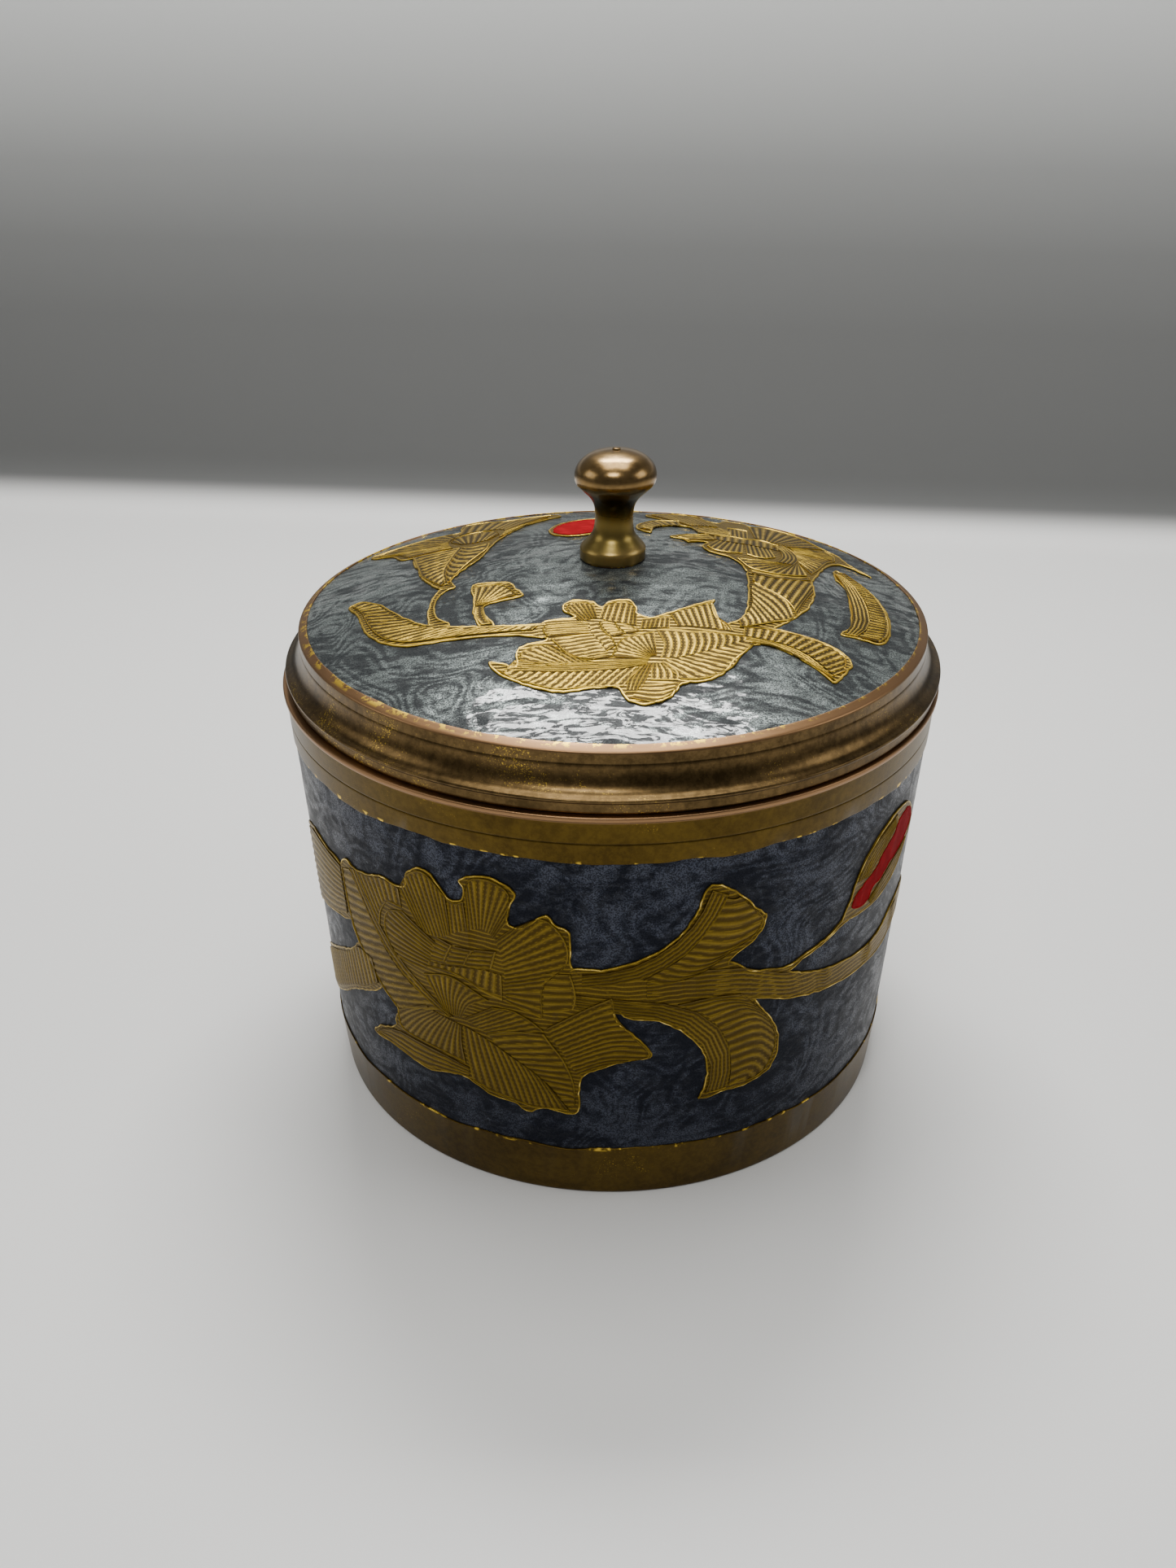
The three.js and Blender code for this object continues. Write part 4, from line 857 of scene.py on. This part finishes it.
def backdrop_paint(colours):
    """Matt paint of the floor and the wall behind it, which carries painted light: painted shade low down,
    paler higher up and a painted bright band near the top of the view.
    """
    finish = Finish("backdrop", roughness=0.6)
    z = finish.axis("Z")
    painted_light_height = 0.25
    # Painted light up the wall: shares of the wall's colour by height, dark low down and a painted bright
    # band at 0.177 m.
    levels = ((0.013, 1.0), (0.032, 1.03), (0.073, 1.2), (0.1, 1.55), (0.127, 2.4), (0.177, 5.3), (0.22, 1.4))
    stops = [(height / painted_light_height, scaled(colours.wall, share)) for height, share in levels]
    wall = finish.ramp(z * (1.0 / painted_light_height), *stops)
    return finish.give(base_color=finish.mix(z.within(0.0005, 0.011), colours.floor, wall))


def edge_waver(x, y, seed):
    """A small sideways step, in shares, of a hand-cut edge at a place round the box."""
    slow = 90
    quick = 260
    wide = noise.noise(Vector((x * slow, y * slow, seed)))
    return wide + 0.5 * noise.noise(Vector((x * quick, y * quick, seed)))


def covered(spot, outlines):
    """Whether a place in the drawing lies inside any of several outlines."""
    for ring in outlines:
        crossings = 0
        for a, b in zip(ring, ring[1:] + ring[:1]):
            if (a.y > spot.y) != (b.y > spot.y):
                crossings += spot.x < a.x + (spot.y - a.y) / (b.y - a.y) * (b.x - a.x)
        if crossings % 2:
            return True
    return False


# How low a plate and a bud's glass reach, how much higher each plate and each patch of ribs lies than
# the one before, so that no two share a face, and where the first patch lies, in millimetres
PLATE_FOOT = -1.2
GLASS_FOOT = -1.0
PLATE_STEP = 0.008
RIB_STEP = 0.0015
RIB_START = -0.02
# The seed of a hand-cut edge's strays, because noise_vector is otherwise seeded by the clock
EDGE_SEED = 7
# How far the cuts that let a plate bend lie apart, along and across the drawing, where there are any
DRUM_CUTS = (2.0, 0)
LID_CUTS = (2.0, 2.0)


def raised_plate(bm, points, place, turn, low, high, cuts, others=()):
    """Adds a plate with a chamfered edge over an outline, and bends it onto its surface."""
    hidden_drop = 0.08
    hidden_shine = 0.2
    relief = bpy.context.scene.box_relief
    edge = relief.edge_width / MM
    stray = relief.edge_waver / MM
    flat = bmesh.new()
    shine = flat.verts.layers.float.new("relief")
    noise.seed_set(EDGE_SEED)
    ring = [
        p + stray * noise.noise_vector((p.x * 0.9, p.y * 0.9, 4.0)).xy
        for p in smooth_curve(points, closed=True)
    ]
    face = flat.faces.new([flat.verts.new((x, y, low)) for x, y in ring])
    if face.normal.z < 0 or sum(a.cross(b) for a, b in zip(ring, ring[1:] + ring[:1])) < 0:
        bmesh.ops.reverse_faces(flat, faces=[face])
    risen = bmesh.ops.extrude_face_region(flat, geom=[face], use_keep_orig=True)["geom"]
    top = [item for item in risen if isinstance(item, bmesh.types.BMFace)]
    # The edge's rings from the outside in: the width to the next one in edges, the rise and the shine
    steps = ((0.4, -0.4 * edge, 0.5), (0.7, 0.0, 1.05), (0.4, 0.0, 0.8), (0.0, -0.08, 0.1))
    for inset, rise, bright in steps:
        for vert in top[0].verts:
            vert.co.z = high + rise
            vert[shine] = bright
        if inset:
            bmesh.ops.inset_region(flat, faces=top, thickness=inset * edge, use_even_offset=True)
    for vert in flat.verts:
        if vert[shine] > 0.4:
            vert[shine] *= 0.84 + 0.5 * noise.noise((vert.co.x * 0.7, vert.co.y * 0.7, 9.0))
            if covered(vert.co, others):
                vert.co.z = high - hidden_drop
                vert[shine] = hidden_shine
    low_corner = [min(p[k] for p in ring) for k in (0, 1)]
    high_corner = [max(p[k] for p in ring) for k in (0, 1)]
    for axis, size in enumerate(cuts):
        if not size:
            continue
        direction = (1, 0, 0) if axis == 0 else (0, 1, 0)
        start = math.floor(low_corner[axis] / size) + 1
        for k in range(start, math.ceil(high_corner[axis] / size)):
            at = Vector(direction) * (k * size)
            geometry = flat.verts[:] + flat.edges[:] + flat.faces[:]
            bmesh.ops.bisect_plane(flat, geom=geometry, dist=1e-5, plane_co=at, plane_no=direction)
    for vert in flat.verts:
        vert.co = place(vert.co.x, vert.co.y, vert.co.z, turn)
    bmesh.ops.recalc_face_normals(flat, faces=flat.faces)
    add_to(bm, flat)


def add_plates(bm, motifs, place, turn, cuts):
    """Adds the plates of a whole spray, each without its edge where another motif covers it."""
    rings = [smooth_curve(points, closed=True, steps=3) for points in motifs]
    for k, points in enumerate(motifs):
        others = rings[:k] + rings[k + 1:]
        raised_plate(bm, points, place, turn, PLATE_FOOT, PLATE_STEP * k, cuts, others)


def outline_places(motifs, place, turns):
    """A search tree of places along the outlines of a spray's motifs, on the surface."""
    spots = [place(p.x, p.y, 0, turn) for turn in turns for m in motifs for p in smooth_curve(m, closed=True)]
    tree = kdtree.KDTree(len(spots))
    for i, spot in enumerate(spots):
        tree.insert(spot, i)
    tree.balance()
    return tree


def enamelled(bm, top, height, grain, tree):
    """Ripples enamel's face, whose vertices top picks out, and marks how close it is to the brass."""
    hug = bm.verts.layers.float.new("hug")
    reach = 0.003
    for vert in bm.verts:
        if top(vert.co):
            vert[hug] = max(0.0, 1 - tree.find(vert.co)[2] / reach)
            spot = Vector([c * g for c, g in zip(vert.co, grain)])
            rise = noise.noise(spot) + 0.5 * noise.noise(spot * 2.3) + 0.8 * noise.noise(spot * 0.3)
            vert.co += vert.normal * height * rise
    return bm


def add_to(bm, other):
    """Joins a mesh in progress into another, and frees it."""
    mesh = bpy.data.meshes.new("joining")
    other.to_mesh(mesh)
    other.free()
    bm.from_mesh(mesh)
    bpy.data.meshes.remove(mesh)


def along(curve, share):
    """A point at a share of the way through a list of points."""
    spot = share * (len(curve) - 1)
    i = min(int(spot), len(curve) - 2)
    return curve[i].lerp(curve[i + 1], spot - i)


def even_shares(curves, count):
    """Shares that step evenly along several lines taken together."""
    fine = 60
    run = [0.0]
    for i in range(fine):
        steps = [(along(c, (i + 1) / fine) - along(c, i / fine)).length for c in curves]
        run.append(run[-1] + sum(steps))
    shares = []
    i = 0
    for k in range(count + 1):
        want = run[-1] * k / count
        while i < fine - 1 and run[i + 1] < want:
            i += 1
        shares.append((i + (want - run[i]) / max(1e-9, run[i + 1] - run[i])) / fine)
    return [min(1.0, max(0.0, s)) for s in shares]


RIB_SHINE = 0.75


def ribbed_patch(bm, ribs, lines, place, turn, base):
    """Adds a chased patch: ribs side by side across its lines, with a line along their far ends."""
    widest_edge = 0.12
    skirt = 0.3
    relief = bpy.context.scene.box_relief
    curves = [smooth_curve(line, closed=False, steps=8) for line in lines]
    columns = ribs * relief.rib_steps
    shares = even_shares(curves, columns)
    across = [smooth_curve([along(c, s) for c in curves], closed=False, steps=8) for s in shares]
    middle = across[columns // 2]
    reach = sum((b - a).length for a, b in zip(middle, middle[1:]))
    edge = min(widest_edge, relief.edge_width / MM / reach)
    # The ribs' body in even rows, then closer rows where they fade into the line along their ends
    body = 7
    rows = [(1 - 3 * edge) * i / body for i in range(body + 1)]
    rows += [1 - 2 * edge, 1 - 1.2 * edge, 1 - 0.6 * edge, 1.0]
    fade = [1.0] * (body + 1) + [0.5, 0.0, 0.0, 0.0]
    border = [0.0] * (body + 1) + [0.0, 0.2, 1.0, 0.5]
    flat = bmesh.new()
    shine = flat.verts.layers.float.new("relief")
    bmesh.ops.create_grid(flat, x_segments=columns, y_segments=len(rows) - 1, size=0.5)
    for vert in flat.verts:
        column = round((vert.co.x + 0.5) * columns)
        row = round((vert.co.y + 0.5) * (len(rows) - 1))
        ridge = abs(math.cos(math.pi * column / relief.rib_steps)) ** 3
        spot = along(across[column], rows[row])
        worn = 0.8 + 0.45 * noise.noise((spot.x * 0.6, spot.y * 0.6, 2.0))
        height = max(ridge * fade[row] * min(1.0, worn), border[row]) * RIB_SHINE
        vert.co = (spot.x, spot.y, base + height * relief.rib_height / MM)
        vert[shine] = height
    rim = [e for e in flat.edges if e.is_boundary]
    drawn = bmesh.ops.extrude_edge_only(flat, edges=rim)["geom"]
    low = [item for item in drawn if isinstance(item, bmesh.types.BMVert)]
    for vert in low:
        vert.co.z = base - skirt
        vert[shine] = 0.0
    bmesh.ops.contextual_create(flat, geom=[e for e in flat.edges if e.is_boundary])
    for vert in flat.verts:
        vert.co = place(vert.co.x, vert.co.y, vert.co.z, turn)
    bmesh.ops.recalc_face_normals(flat, faces=flat.faces)
    add_to(bm, flat)


# Small measures of turned edges, in metres: roundings from crisp to soft, how far a recess's wall leans,
# and how near to a face a vertex counts as part of it
CRISP = 0.0001
EASED = 0.0002
SOFT = 0.0003
RECESS_LEAN = 0.0002
NEAR_FACE = 0.0001


def make_drum_shell(scene):
    """The brass drum, with the recess that the enamel lies in."""
    enamel_edge = 0.00012
    score_width = 0.00012
    score_depth = 0.00007
    mouth_round = 0.0004
    inner_corner = 0.002
    edge_stray = 0.0006
    sizes = scene.box_drum
    relief = scene.box_relief
    recess = relief.enamel_drop + relief.enamel_depth
    low = sizes.band_height
    high = sizes.height - sizes.top_margin
    mouth = sizes.top_radius - sizes.wall
    lip = sizes.height - sizes.lip_height
    scored = lip - sizes.score_drop
    profile = rounded([
        (0, 0),
        (sizes.foot_radius, 0, sizes.foot_round),
        (sizes.band_radius, low, enamel_edge),
        (drum_radius(low) - recess, low + RECESS_LEAN),
        (drum_radius(high) - recess, high - RECESS_LEAN),
        (drum_radius(high), high, enamel_edge),
        (drum_radius(scored), scored - score_width),
        (drum_radius(scored) - score_depth, scored),
        (drum_radius(scored), scored + score_width),
        (drum_radius(lip), lip),
        (sizes.lip_radius, lip + SOFT, SOFT),
        (sizes.lip_radius, sizes.height, SOFT),
        (mouth, sizes.height, mouth_round),
        (drum_radius(sizes.floor) - sizes.wall, sizes.floor, inner_corner),
        (0, sizes.floor),
    ])
    bm = spun(profile, closed=False)
    for vert in bm.verts:
        radius = math.hypot(vert.co.x, vert.co.y)
        outside = radius > drum_radius(vert.co.z) - recess - NEAR_FACE
        for edge, seed in ((low, 1.0), (high, 7.0)):
            if outside and abs(vert.co.z - edge) < SOFT:
                vert.co.z += edge_stray * edge_waver(vert.co.x, vert.co.y, seed)
    return bm


def make_drum_enamel(scene):
    """The dark enamel round the drum."""
    sizes = scene.box_drum
    relief = scene.box_relief
    under_brass = 0.0008
    low = sizes.band_height - under_brass
    high = sizes.height - sizes.top_margin + under_brass
    steps = 90
    levels = [low + (high - low) * i / steps for i in range(steps + 1)]
    outer = [Vector((drum_radius(z) - relief.enamel_drop, z)) for z in levels]
    inner = [Vector((drum_radius(z) - relief.enamel_drop - relief.enamel_depth, z)) for z in (high, low)]
    bm = spun(outer + inner, closed=True, turns=relief.enamel_turns)

    def outside(spot):
        """Whether a vertex is on the enamel's outer face."""
        return math.hypot(spot.x, spot.y) > drum_radius(spot.z) - relief.enamel_drop - NEAR_FACE

    turns = [2 * math.pi * i / DRUM_SPRAYS for i in range(DRUM_SPRAYS)]
    tree = outline_places(DRUM_MOTIFS.values(), on_drum, turns)
    return enamelled(bm, outside, relief.drum_ripple, (260, 260, 330), tree)


def make_lid_shell(scene):
    """The brass lid with its mouldings, its spigot and the recess that the enamel lies in."""
    dome_steps = 16
    cove_steps = 12
    cove_turn = 0.45
    inner_corner = 0.001
    lead_in = 0.0005
    edge_stray = 0.005
    sizes = scene.box_lid
    drum = scene.box_drum
    relief = scene.box_relief
    z = drum.height
    recess = relief.enamel_drop + relief.enamel_depth
    spigot = drum.top_radius - drum.wall - sizes.clearance
    hollow = spigot - sizes.spigot_wall
    cove_top = z + sizes.rim_height - sizes.rim_band
    torus_low = z + sizes.fillet_height
    torus_high = torus_low + sizes.torus_height
    domes = [sizes.enamel_radius * i / dome_steps for i in range(dome_steps + 1)]
    inner_dome = [r for r in domes if r < hollow]
    cove = []
    depth = sizes.torus_radius - sizes.cove_radius
    for i in range(cove_steps + 1):
        angle = math.pi * (1 + cove_turn * (1 - i / cove_steps))
        drop = -depth * math.sin(angle) * sizes.cove_height / depth
        cove.append((sizes.torus_radius + depth * math.cos(angle), cove_top - drop))
    profile = rounded([
        *[(r, dome_height(max(r, sizes.knob_seat)) - sizes.thickness) for r in inner_dome],
        (hollow, dome_height(hollow) - sizes.thickness, inner_corner),
        (hollow, z - sizes.spigot_depth, SOFT),
        (spigot, z - sizes.spigot_depth, lead_in),
        (spigot, z),
        (sizes.seat_radius, z),
        (sizes.fillet_radius, z + SOFT, EASED),
        (sizes.fillet_radius, torus_low, CRISP),
        (sizes.torus_radius - SOFT, torus_low),
        (sizes.torus_radius, torus_low + SOFT, EASED),
        (sizes.torus_radius, torus_high - SOFT, EASED),
        *cove,
        (sizes.rim_radius, cove_top + EASED, CRISP),
        (sizes.rim_radius, z + sizes.rim_height, SOFT),
        (sizes.enamel_radius, dome_height(sizes.enamel_radius), CRISP),
        (sizes.enamel_radius - SOFT, dome_height(sizes.enamel_radius) - recess),
        *[(r, dome_height(r) - recess) for r in reversed(domes[3:-1])],
        (sizes.knob_seat + CRISP, dome_height(sizes.knob_seat) - recess),
        (sizes.knob_seat, dome_height(sizes.knob_seat)),
        (0, dome_height(sizes.knob_seat)),
    ])
    bm = spun(profile, closed=False)
    edge = sizes.enamel_radius
    for vert in bm.verts:
        radius = math.hypot(vert.co.x, vert.co.y)
        if abs(radius - edge) < EASED and vert.co.z > z + sizes.rim_height:
            step = 1 - edge_stray * max(0.0, edge_waver(vert.co.x, vert.co.y, 3.0))
            vert.co.x *= step
            vert.co.y *= step
    bmesh.ops.translate(bm, verts=bm.verts, vec=(sizes.shift, 0, 0))
    return bm


def make_lid_enamel(scene):
    """The grey enamel on the lid's dome."""
    sizes = scene.box_lid
    relief = scene.box_relief
    top_steps = 90
    low_steps = 10
    start = sizes.knob_seat + CRISP
    end = sizes.enamel_radius - CRISP
    fine = [start + (end - start) * i / top_steps for i in range(top_steps + 1)]
    coarse = [end + (start - end) * i / low_steps for i in range(low_steps + 1)]
    top = [Vector((r, dome_height(r) - relief.enamel_drop)) for r in fine]
    bottom = [Vector((r, dome_height(r) - relief.enamel_drop - relief.enamel_depth)) for r in coarse]
    bm = spun(top + bottom, closed=True, turns=relief.enamel_turns)

    def above(spot):
        """Whether a vertex is on the enamel's upper face."""
        return spot.z > dome_height(math.hypot(spot.x, spot.y)) - relief.enamel_drop - NEAR_FACE

    tree = outline_places(LID_MOTIFS.values(), on_lid, [0])
    enamelled(bm, above, relief.lid_ripple, (230, 420, 100), tree)
    bmesh.ops.translate(bm, verts=bm.verts, vec=(sizes.shift, 0, 0))
    return bm


def make_knob(scene):
    """The turned knob, which leans a little."""
    sizes = scene.box_knob
    foot, neck, head = sizes.foot_radius, sizes.neck_radius, sizes.head_radius
    foot_height = 1.75
    rivet_height = 18.9
    turns = 72
    # The side from the foot up, each radius in metres and each height in millimetres
    drawn = [
        (foot, foot_height), (0.97 * foot, 2.1), (0.83 * foot, 3.0), (1.13 * neck, 4.3), (neck, 6.6),
        (0.507 * head, 9.2), (0.615 * head, 10.6), (0.82 * head, 12.0), (0.967 * head, 13.1),
        (head, 14.5), (0.93 * head, 16.0), (0.7 * head, 17.5), (0.35 * head, 18.35),
        (sizes.rivet_radius, 18.6),
    ]
    side = smooth_curve([(r / MM, z) for r, z in drawn], closed=False, steps=5)
    profile = rounded([(0, 0), (foot, 0, EASED), (foot, foot_height * MM)])[:-1] + [p * MM for p in side]
    profile += rounded([
        profile[-1], (sizes.rivet_radius, rivet_height * MM, EASED), (0, rivet_height * MM),
    ])[1:]
    bm = spun(profile, closed=False, turns=turns)
    lean = Matrix.Identity(4)
    lean[0][2] = sizes.lean
    bmesh.ops.transform(bm, verts=bm.verts, matrix=lean)
    shift = (scene.box_lid.shift, 0, dome_height(scene.box_lid.knob_seat))
    bmesh.ops.translate(bm, verts=bm.verts, vec=shift)
    return bm


class BOX_OT_drum(bpy.types.Operator):
    """Make the brass drum"""

    bl_idname = "enamel_box.drum"
    bl_label = "Drum"

    def execute(self, context):
        scene = context.scene
        add_piece(
            make_drum_shell(scene), "drum_shell", drum_brass(scene.box_colours), ["drum"]
        )
        return {"FINISHED"}


class BOX_OT_drum_enamel(bpy.types.Operator):
    """Make the enamel round the drum"""

    bl_idname = "enamel_box.drum_enamel"
    bl_label = "Drum Enamel"

    def execute(self, context):
        colours = context.scene.box_colours
        enamel = pearl_enamel(
            "drum_enamel", colours.drum_enamel, colours.drum_pearl,
            contrast=0.085, run=(110, 110, 190), comb=110.0, gloss=0.1,
        )
        add_piece(
            make_drum_enamel(context.scene), "drum_enamel_skin", enamel,
            ["drum_ground_enamel"],
        )
        return {"FINISHED"}


class BOX_OT_drum_sprays(bpy.types.Operator):
    """Make the raised flower sprays round the drum"""

    bl_idname = "enamel_box.drum_sprays"
    bl_label = "Drum Sprays"

    def execute(self, context):
        scene = context.scene
        # The drum's copy is darkened to 0.41 with half the contrast: painted shade, against the lid's lit
        # copy.
        brass = relief_brass(
            "drum_chased_brass", scene.box_colours, painted_light=0.41, contrast=0.5, across="Z"
        )
        red = red_glass(scene.box_colours)
        for i in range(DRUM_SPRAYS):
            turn = 2 * math.pi * i / DRUM_SPRAYS
            bm = bmesh.new()
            add_plates(bm, list(DRUM_MOTIFS.values()), on_drum, turn, DRUM_CUTS)
            for k, (ribs, *lines) in enumerate(DRUM_RIBS):
                ribbed_patch(bm, ribs, lines, on_drum, turn, RIB_START + RIB_STEP * k)
            add_piece(bm, f"drum_spray_{i + 1}", brass)
            bm = bmesh.new()
            raised_plate(bm, DRUM_BUD_CELL, on_drum, turn, GLASS_FOOT, high=0.1, cuts=DRUM_CUTS)
            add_piece(bm, f"drum_bud_glass_{i + 1}", red, [f"drum_bud_enamel_{i + 1}"])
        return {"FINISHED"}


class BOX_OT_lid(bpy.types.Operator):
    """Make the brass lid"""

    bl_idname = "enamel_box.lid"
    bl_label = "Lid"

    def execute(self, context):
        scene = context.scene
        add_piece(make_lid_shell(scene), "lid_shell", lid_brass(scene.box_colours), ["lid"])
        return {"FINISHED"}


class BOX_OT_lid_enamel(bpy.types.Operator):
    """Make the enamel on the lid"""

    bl_idname = "enamel_box.lid_enamel"
    bl_label = "Lid Enamel"

    def execute(self, context):
        colours = context.scene.box_colours
        enamel = pearl_enamel(
            "lid_enamel", colours.lid_enamel, colours.lid_pearl,
            contrast=0.08, run=(85, 270, 170), comb=150.0, gloss=0.7,
        )
        add_piece(
            make_lid_enamel(context.scene), "lid_enamel_skin", enamel, ["lid_ground_enamel"]
        )
        return {"FINISHED"}


class BOX_OT_lid_spray(bpy.types.Operator):
    """Make the raised flowers and leaves on the lid"""

    bl_idname = "enamel_box.lid_spray"
    bl_label = "Lid Spray"

    def execute(self, context):
        scene = context.scene
        bm = bmesh.new()
        add_plates(bm, list(LID_MOTIFS.values()), on_lid, 0, LID_CUTS)
        for k, (ribs, *lines) in enumerate(LID_RIBS):
            ribbed_patch(bm, ribs, lines, on_lid, 0, RIB_START + RIB_STEP * k)
        # The lid's copy at full strength is the lit one of the two copies.
        brass = relief_brass("lid_chased_brass", scene.box_colours, painted_light=1.0, contrast=1.0, across="Y")
        add_piece(bm, "lid_spray", brass)
        bm = bmesh.new()
        raised_plate(bm, LID_BUD_CELL, on_lid, 0, GLASS_FOOT, high=0.12, cuts=LID_CUTS)
        add_piece(bm, "lid_bud_glass", bpy.data.materials["red_glass"], ["lid_bud_enamel"])
        return {"FINISHED"}


class BOX_OT_knob(bpy.types.Operator):
    """Make the turned knob"""

    bl_idname = "enamel_box.knob"
    bl_label = "Knob"

    def execute(self, context):
        scene = context.scene
        add_piece(make_knob(scene), "knob_turned", knob_brass(scene.box_colours), ["knob"])
        return {"FINISHED"}


# The camera stands in front of the box and above it, in metres and radians, with the lens for
# a frame whose long side is the sensor's width
CAMERA_PLACE = (0.0, -0.237394, 0.181911)
CAMERA_PITCH = 0.502401
CAMERA_YAW = -0.016639
CAMERA_ROLL = -0.002528
CAMERA_LENS = 33.4307
CAMERA_SENSOR = 36.0
CAMERA_CLIP = (0.01, 20.0)

# The floor and the wall behind it, in metres, and how far the two are turned, in radians
FLOOR_NEAR = -2.5
WALL_PLACE = 0.306
WALL_BEND = 0.02
WALL_HEIGHT = 1.6
STAGE_HALF_WIDTH = 2.5
STAGE_TURN = -0.105
WORLD_STRENGTH = 0.16
LIGHT_COLOUR = (1.0, 0.99, 0.97)
# Each light's name, place, aim, size and power
LIGHTS = (
    ("overhead", (0.0, 0.1, 1.0), (0, 0, 0.05), (0.7, 0.5), 6.5),
    ("strip", (0.0, 0.26, 0.545), (0, -0.04, 0.09), (0.3, 0.1), 3.6),
    ("front", (-0.12, -0.65, 1.0), (0, -0.1, 0.05), (0.4, 0.25), 4.5),
    ("left", (-1.0, -0.1, 0.6), (0, 0, 0.05), (0.6, 0.5), 1.8),
    ("right", (1.0, -0.1, 0.6), (0, 0, 0.05), (0.6, 0.5), 2.6),
)


def add_light(name, place, aim, size, power):
    """A soft oblong light at a place, turned to its aim."""
    lamp = bpy.data.lights.new(name, "AREA")
    lamp.shape = "RECTANGLE"
    lamp.size, lamp.size_y = size
    lamp.energy = power
    lamp.color = LIGHT_COLOUR
    light = bpy.data.objects.new(name, lamp)
    light.location = place
    light.rotation_mode = "QUATERNION"
    light.rotation_quaternion = (Vector(aim) - Vector(place)).to_track_quat("-Z", "Y")
    bpy.context.scene.collection.objects.link(light)


class BOX_OT_stage(bpy.types.Operator):
    """Make the floor, the lights and the camera"""

    bl_idname = "enamel_box.stage"
    bl_label = "Stage"

    def execute(self, context):
        scene = context.scene
        bm = bmesh.new()
        outline = rounded(
            [(FLOOR_NEAR, 0), (WALL_PLACE, 0, WALL_BEND), (WALL_PLACE, WALL_HEIGHT)], steps=12
        )
        verts = [bm.verts.new((-STAGE_HALF_WIDTH, y, z)) for y, z in outline]
        edges = [bm.edges.new(pair) for pair in zip(verts, verts[1:])]
        swept = bmesh.ops.extrude_edge_only(bm, edges=edges)["geom"]
        far = [item for item in swept if isinstance(item, bmesh.types.BMVert)]
        bmesh.ops.translate(bm, verts=far, vec=(2 * STAGE_HALF_WIDTH, 0, 0))
        bmesh.ops.rotate(bm, verts=bm.verts, cent=(0, 0, 0), matrix=Matrix.Rotation(STAGE_TURN, 3, "Z"))
        bmesh.ops.recalc_face_normals(bm, faces=bm.faces)
        mesh = bpy.data.meshes.new("backdrop")
        bm.to_mesh(mesh)
        bm.free()
        mesh.shade_smooth()
        mesh.materials.append(backdrop_paint(scene.box_colours))
        ground = bpy.data.objects.new("backdrop", mesh)
        scene.collection.objects.link(ground)

        world = bpy.data.worlds.new("studio")
        world.use_nodes = True
        sky = world.node_tree.nodes["Background"]
        sky.inputs["Color"].default_value = (1.0, 1.0, 1.0, 1.0)
        sky.inputs["Strength"].default_value = WORLD_STRENGTH
        scene.world = world
        for light in LIGHTS:
            add_light(*light)

        lens = bpy.data.cameras.new("camera")
        lens.sensor_width = CAMERA_SENSOR
        lens.lens = CAMERA_LENS
        lens.clip_start, lens.clip_end = CAMERA_CLIP
        camera = bpy.data.objects.new("camera", lens)
        ahead = Vector((
            math.sin(CAMERA_YAW) * math.cos(CAMERA_PITCH),
            math.cos(CAMERA_YAW) * math.cos(CAMERA_PITCH),
            -math.sin(CAMERA_PITCH),
        ))
        right = Vector((math.cos(CAMERA_YAW), -math.sin(CAMERA_YAW), 0))
        up = right.cross(ahead)
        turned_right = math.cos(CAMERA_ROLL) * right + math.sin(CAMERA_ROLL) * up
        turned_up = math.cos(CAMERA_ROLL) * up - math.sin(CAMERA_ROLL) * right
        axes = Matrix((turned_right, turned_up, -ahead)).transposed().to_4x4()
        camera.matrix_world = Matrix.Translation(CAMERA_PLACE) @ axes
        scene.collection.objects.link(camera)
        scene.camera = camera
        return {"FINISHED"}


OPERATORS = (
    BOX_OT_stage,
    BOX_OT_drum,
    BOX_OT_drum_enamel,
    BOX_OT_drum_sprays,
    BOX_OT_lid,
    BOX_OT_lid_enamel,
    BOX_OT_lid_spray,
    BOX_OT_knob,
)


class BOX_PT_panel(bpy.types.Panel):
    """The box's sizes, colours and pieces"""

    bl_idname = "BOX_PT_panel"
    bl_label = "Enamel Box"
    bl_space_type = "VIEW_3D"
    bl_region_type = "UI"
    bl_category = "Enamel Box"

    def draw(self, context):
        for operator in OPERATORS:
            self.layout.operator(operator.bl_idname)
        for name, group in SETTINGS.items():
            column = self.layout.column(align=True)
            column.label(text=group.__doc__)
            for key in group.__annotations__:
                column.prop(getattr(context.scene, name), key)


def register():
    """Registers the box's settings, operators and panel."""
    for group in SETTINGS.values():
        bpy.utils.register_class(group)
    for name, group in SETTINGS.items():
        setattr(bpy.types.Scene, name, PointerProperty(type=group))
    for operator in OPERATORS:
        bpy.utils.register_class(operator)
    bpy.utils.register_class(BOX_PT_panel)


def unregister():
    """Takes back what register did."""
    bpy.utils.unregister_class(BOX_PT_panel)
    for operator in reversed(OPERATORS):
        bpy.utils.unregister_class(operator)
    for name in SETTINGS:
        delattr(bpy.types.Scene, name)
    for group in reversed(SETTINGS.values()):
        bpy.utils.unregister_class(group)


def main():
    """Makes the whole box."""
    register()
    for operator in OPERATORS:
        group, name = operator.bl_idname.split(".")
        getattr(getattr(bpy.ops, group), name)()


if __name__ == "__main__":
    main()
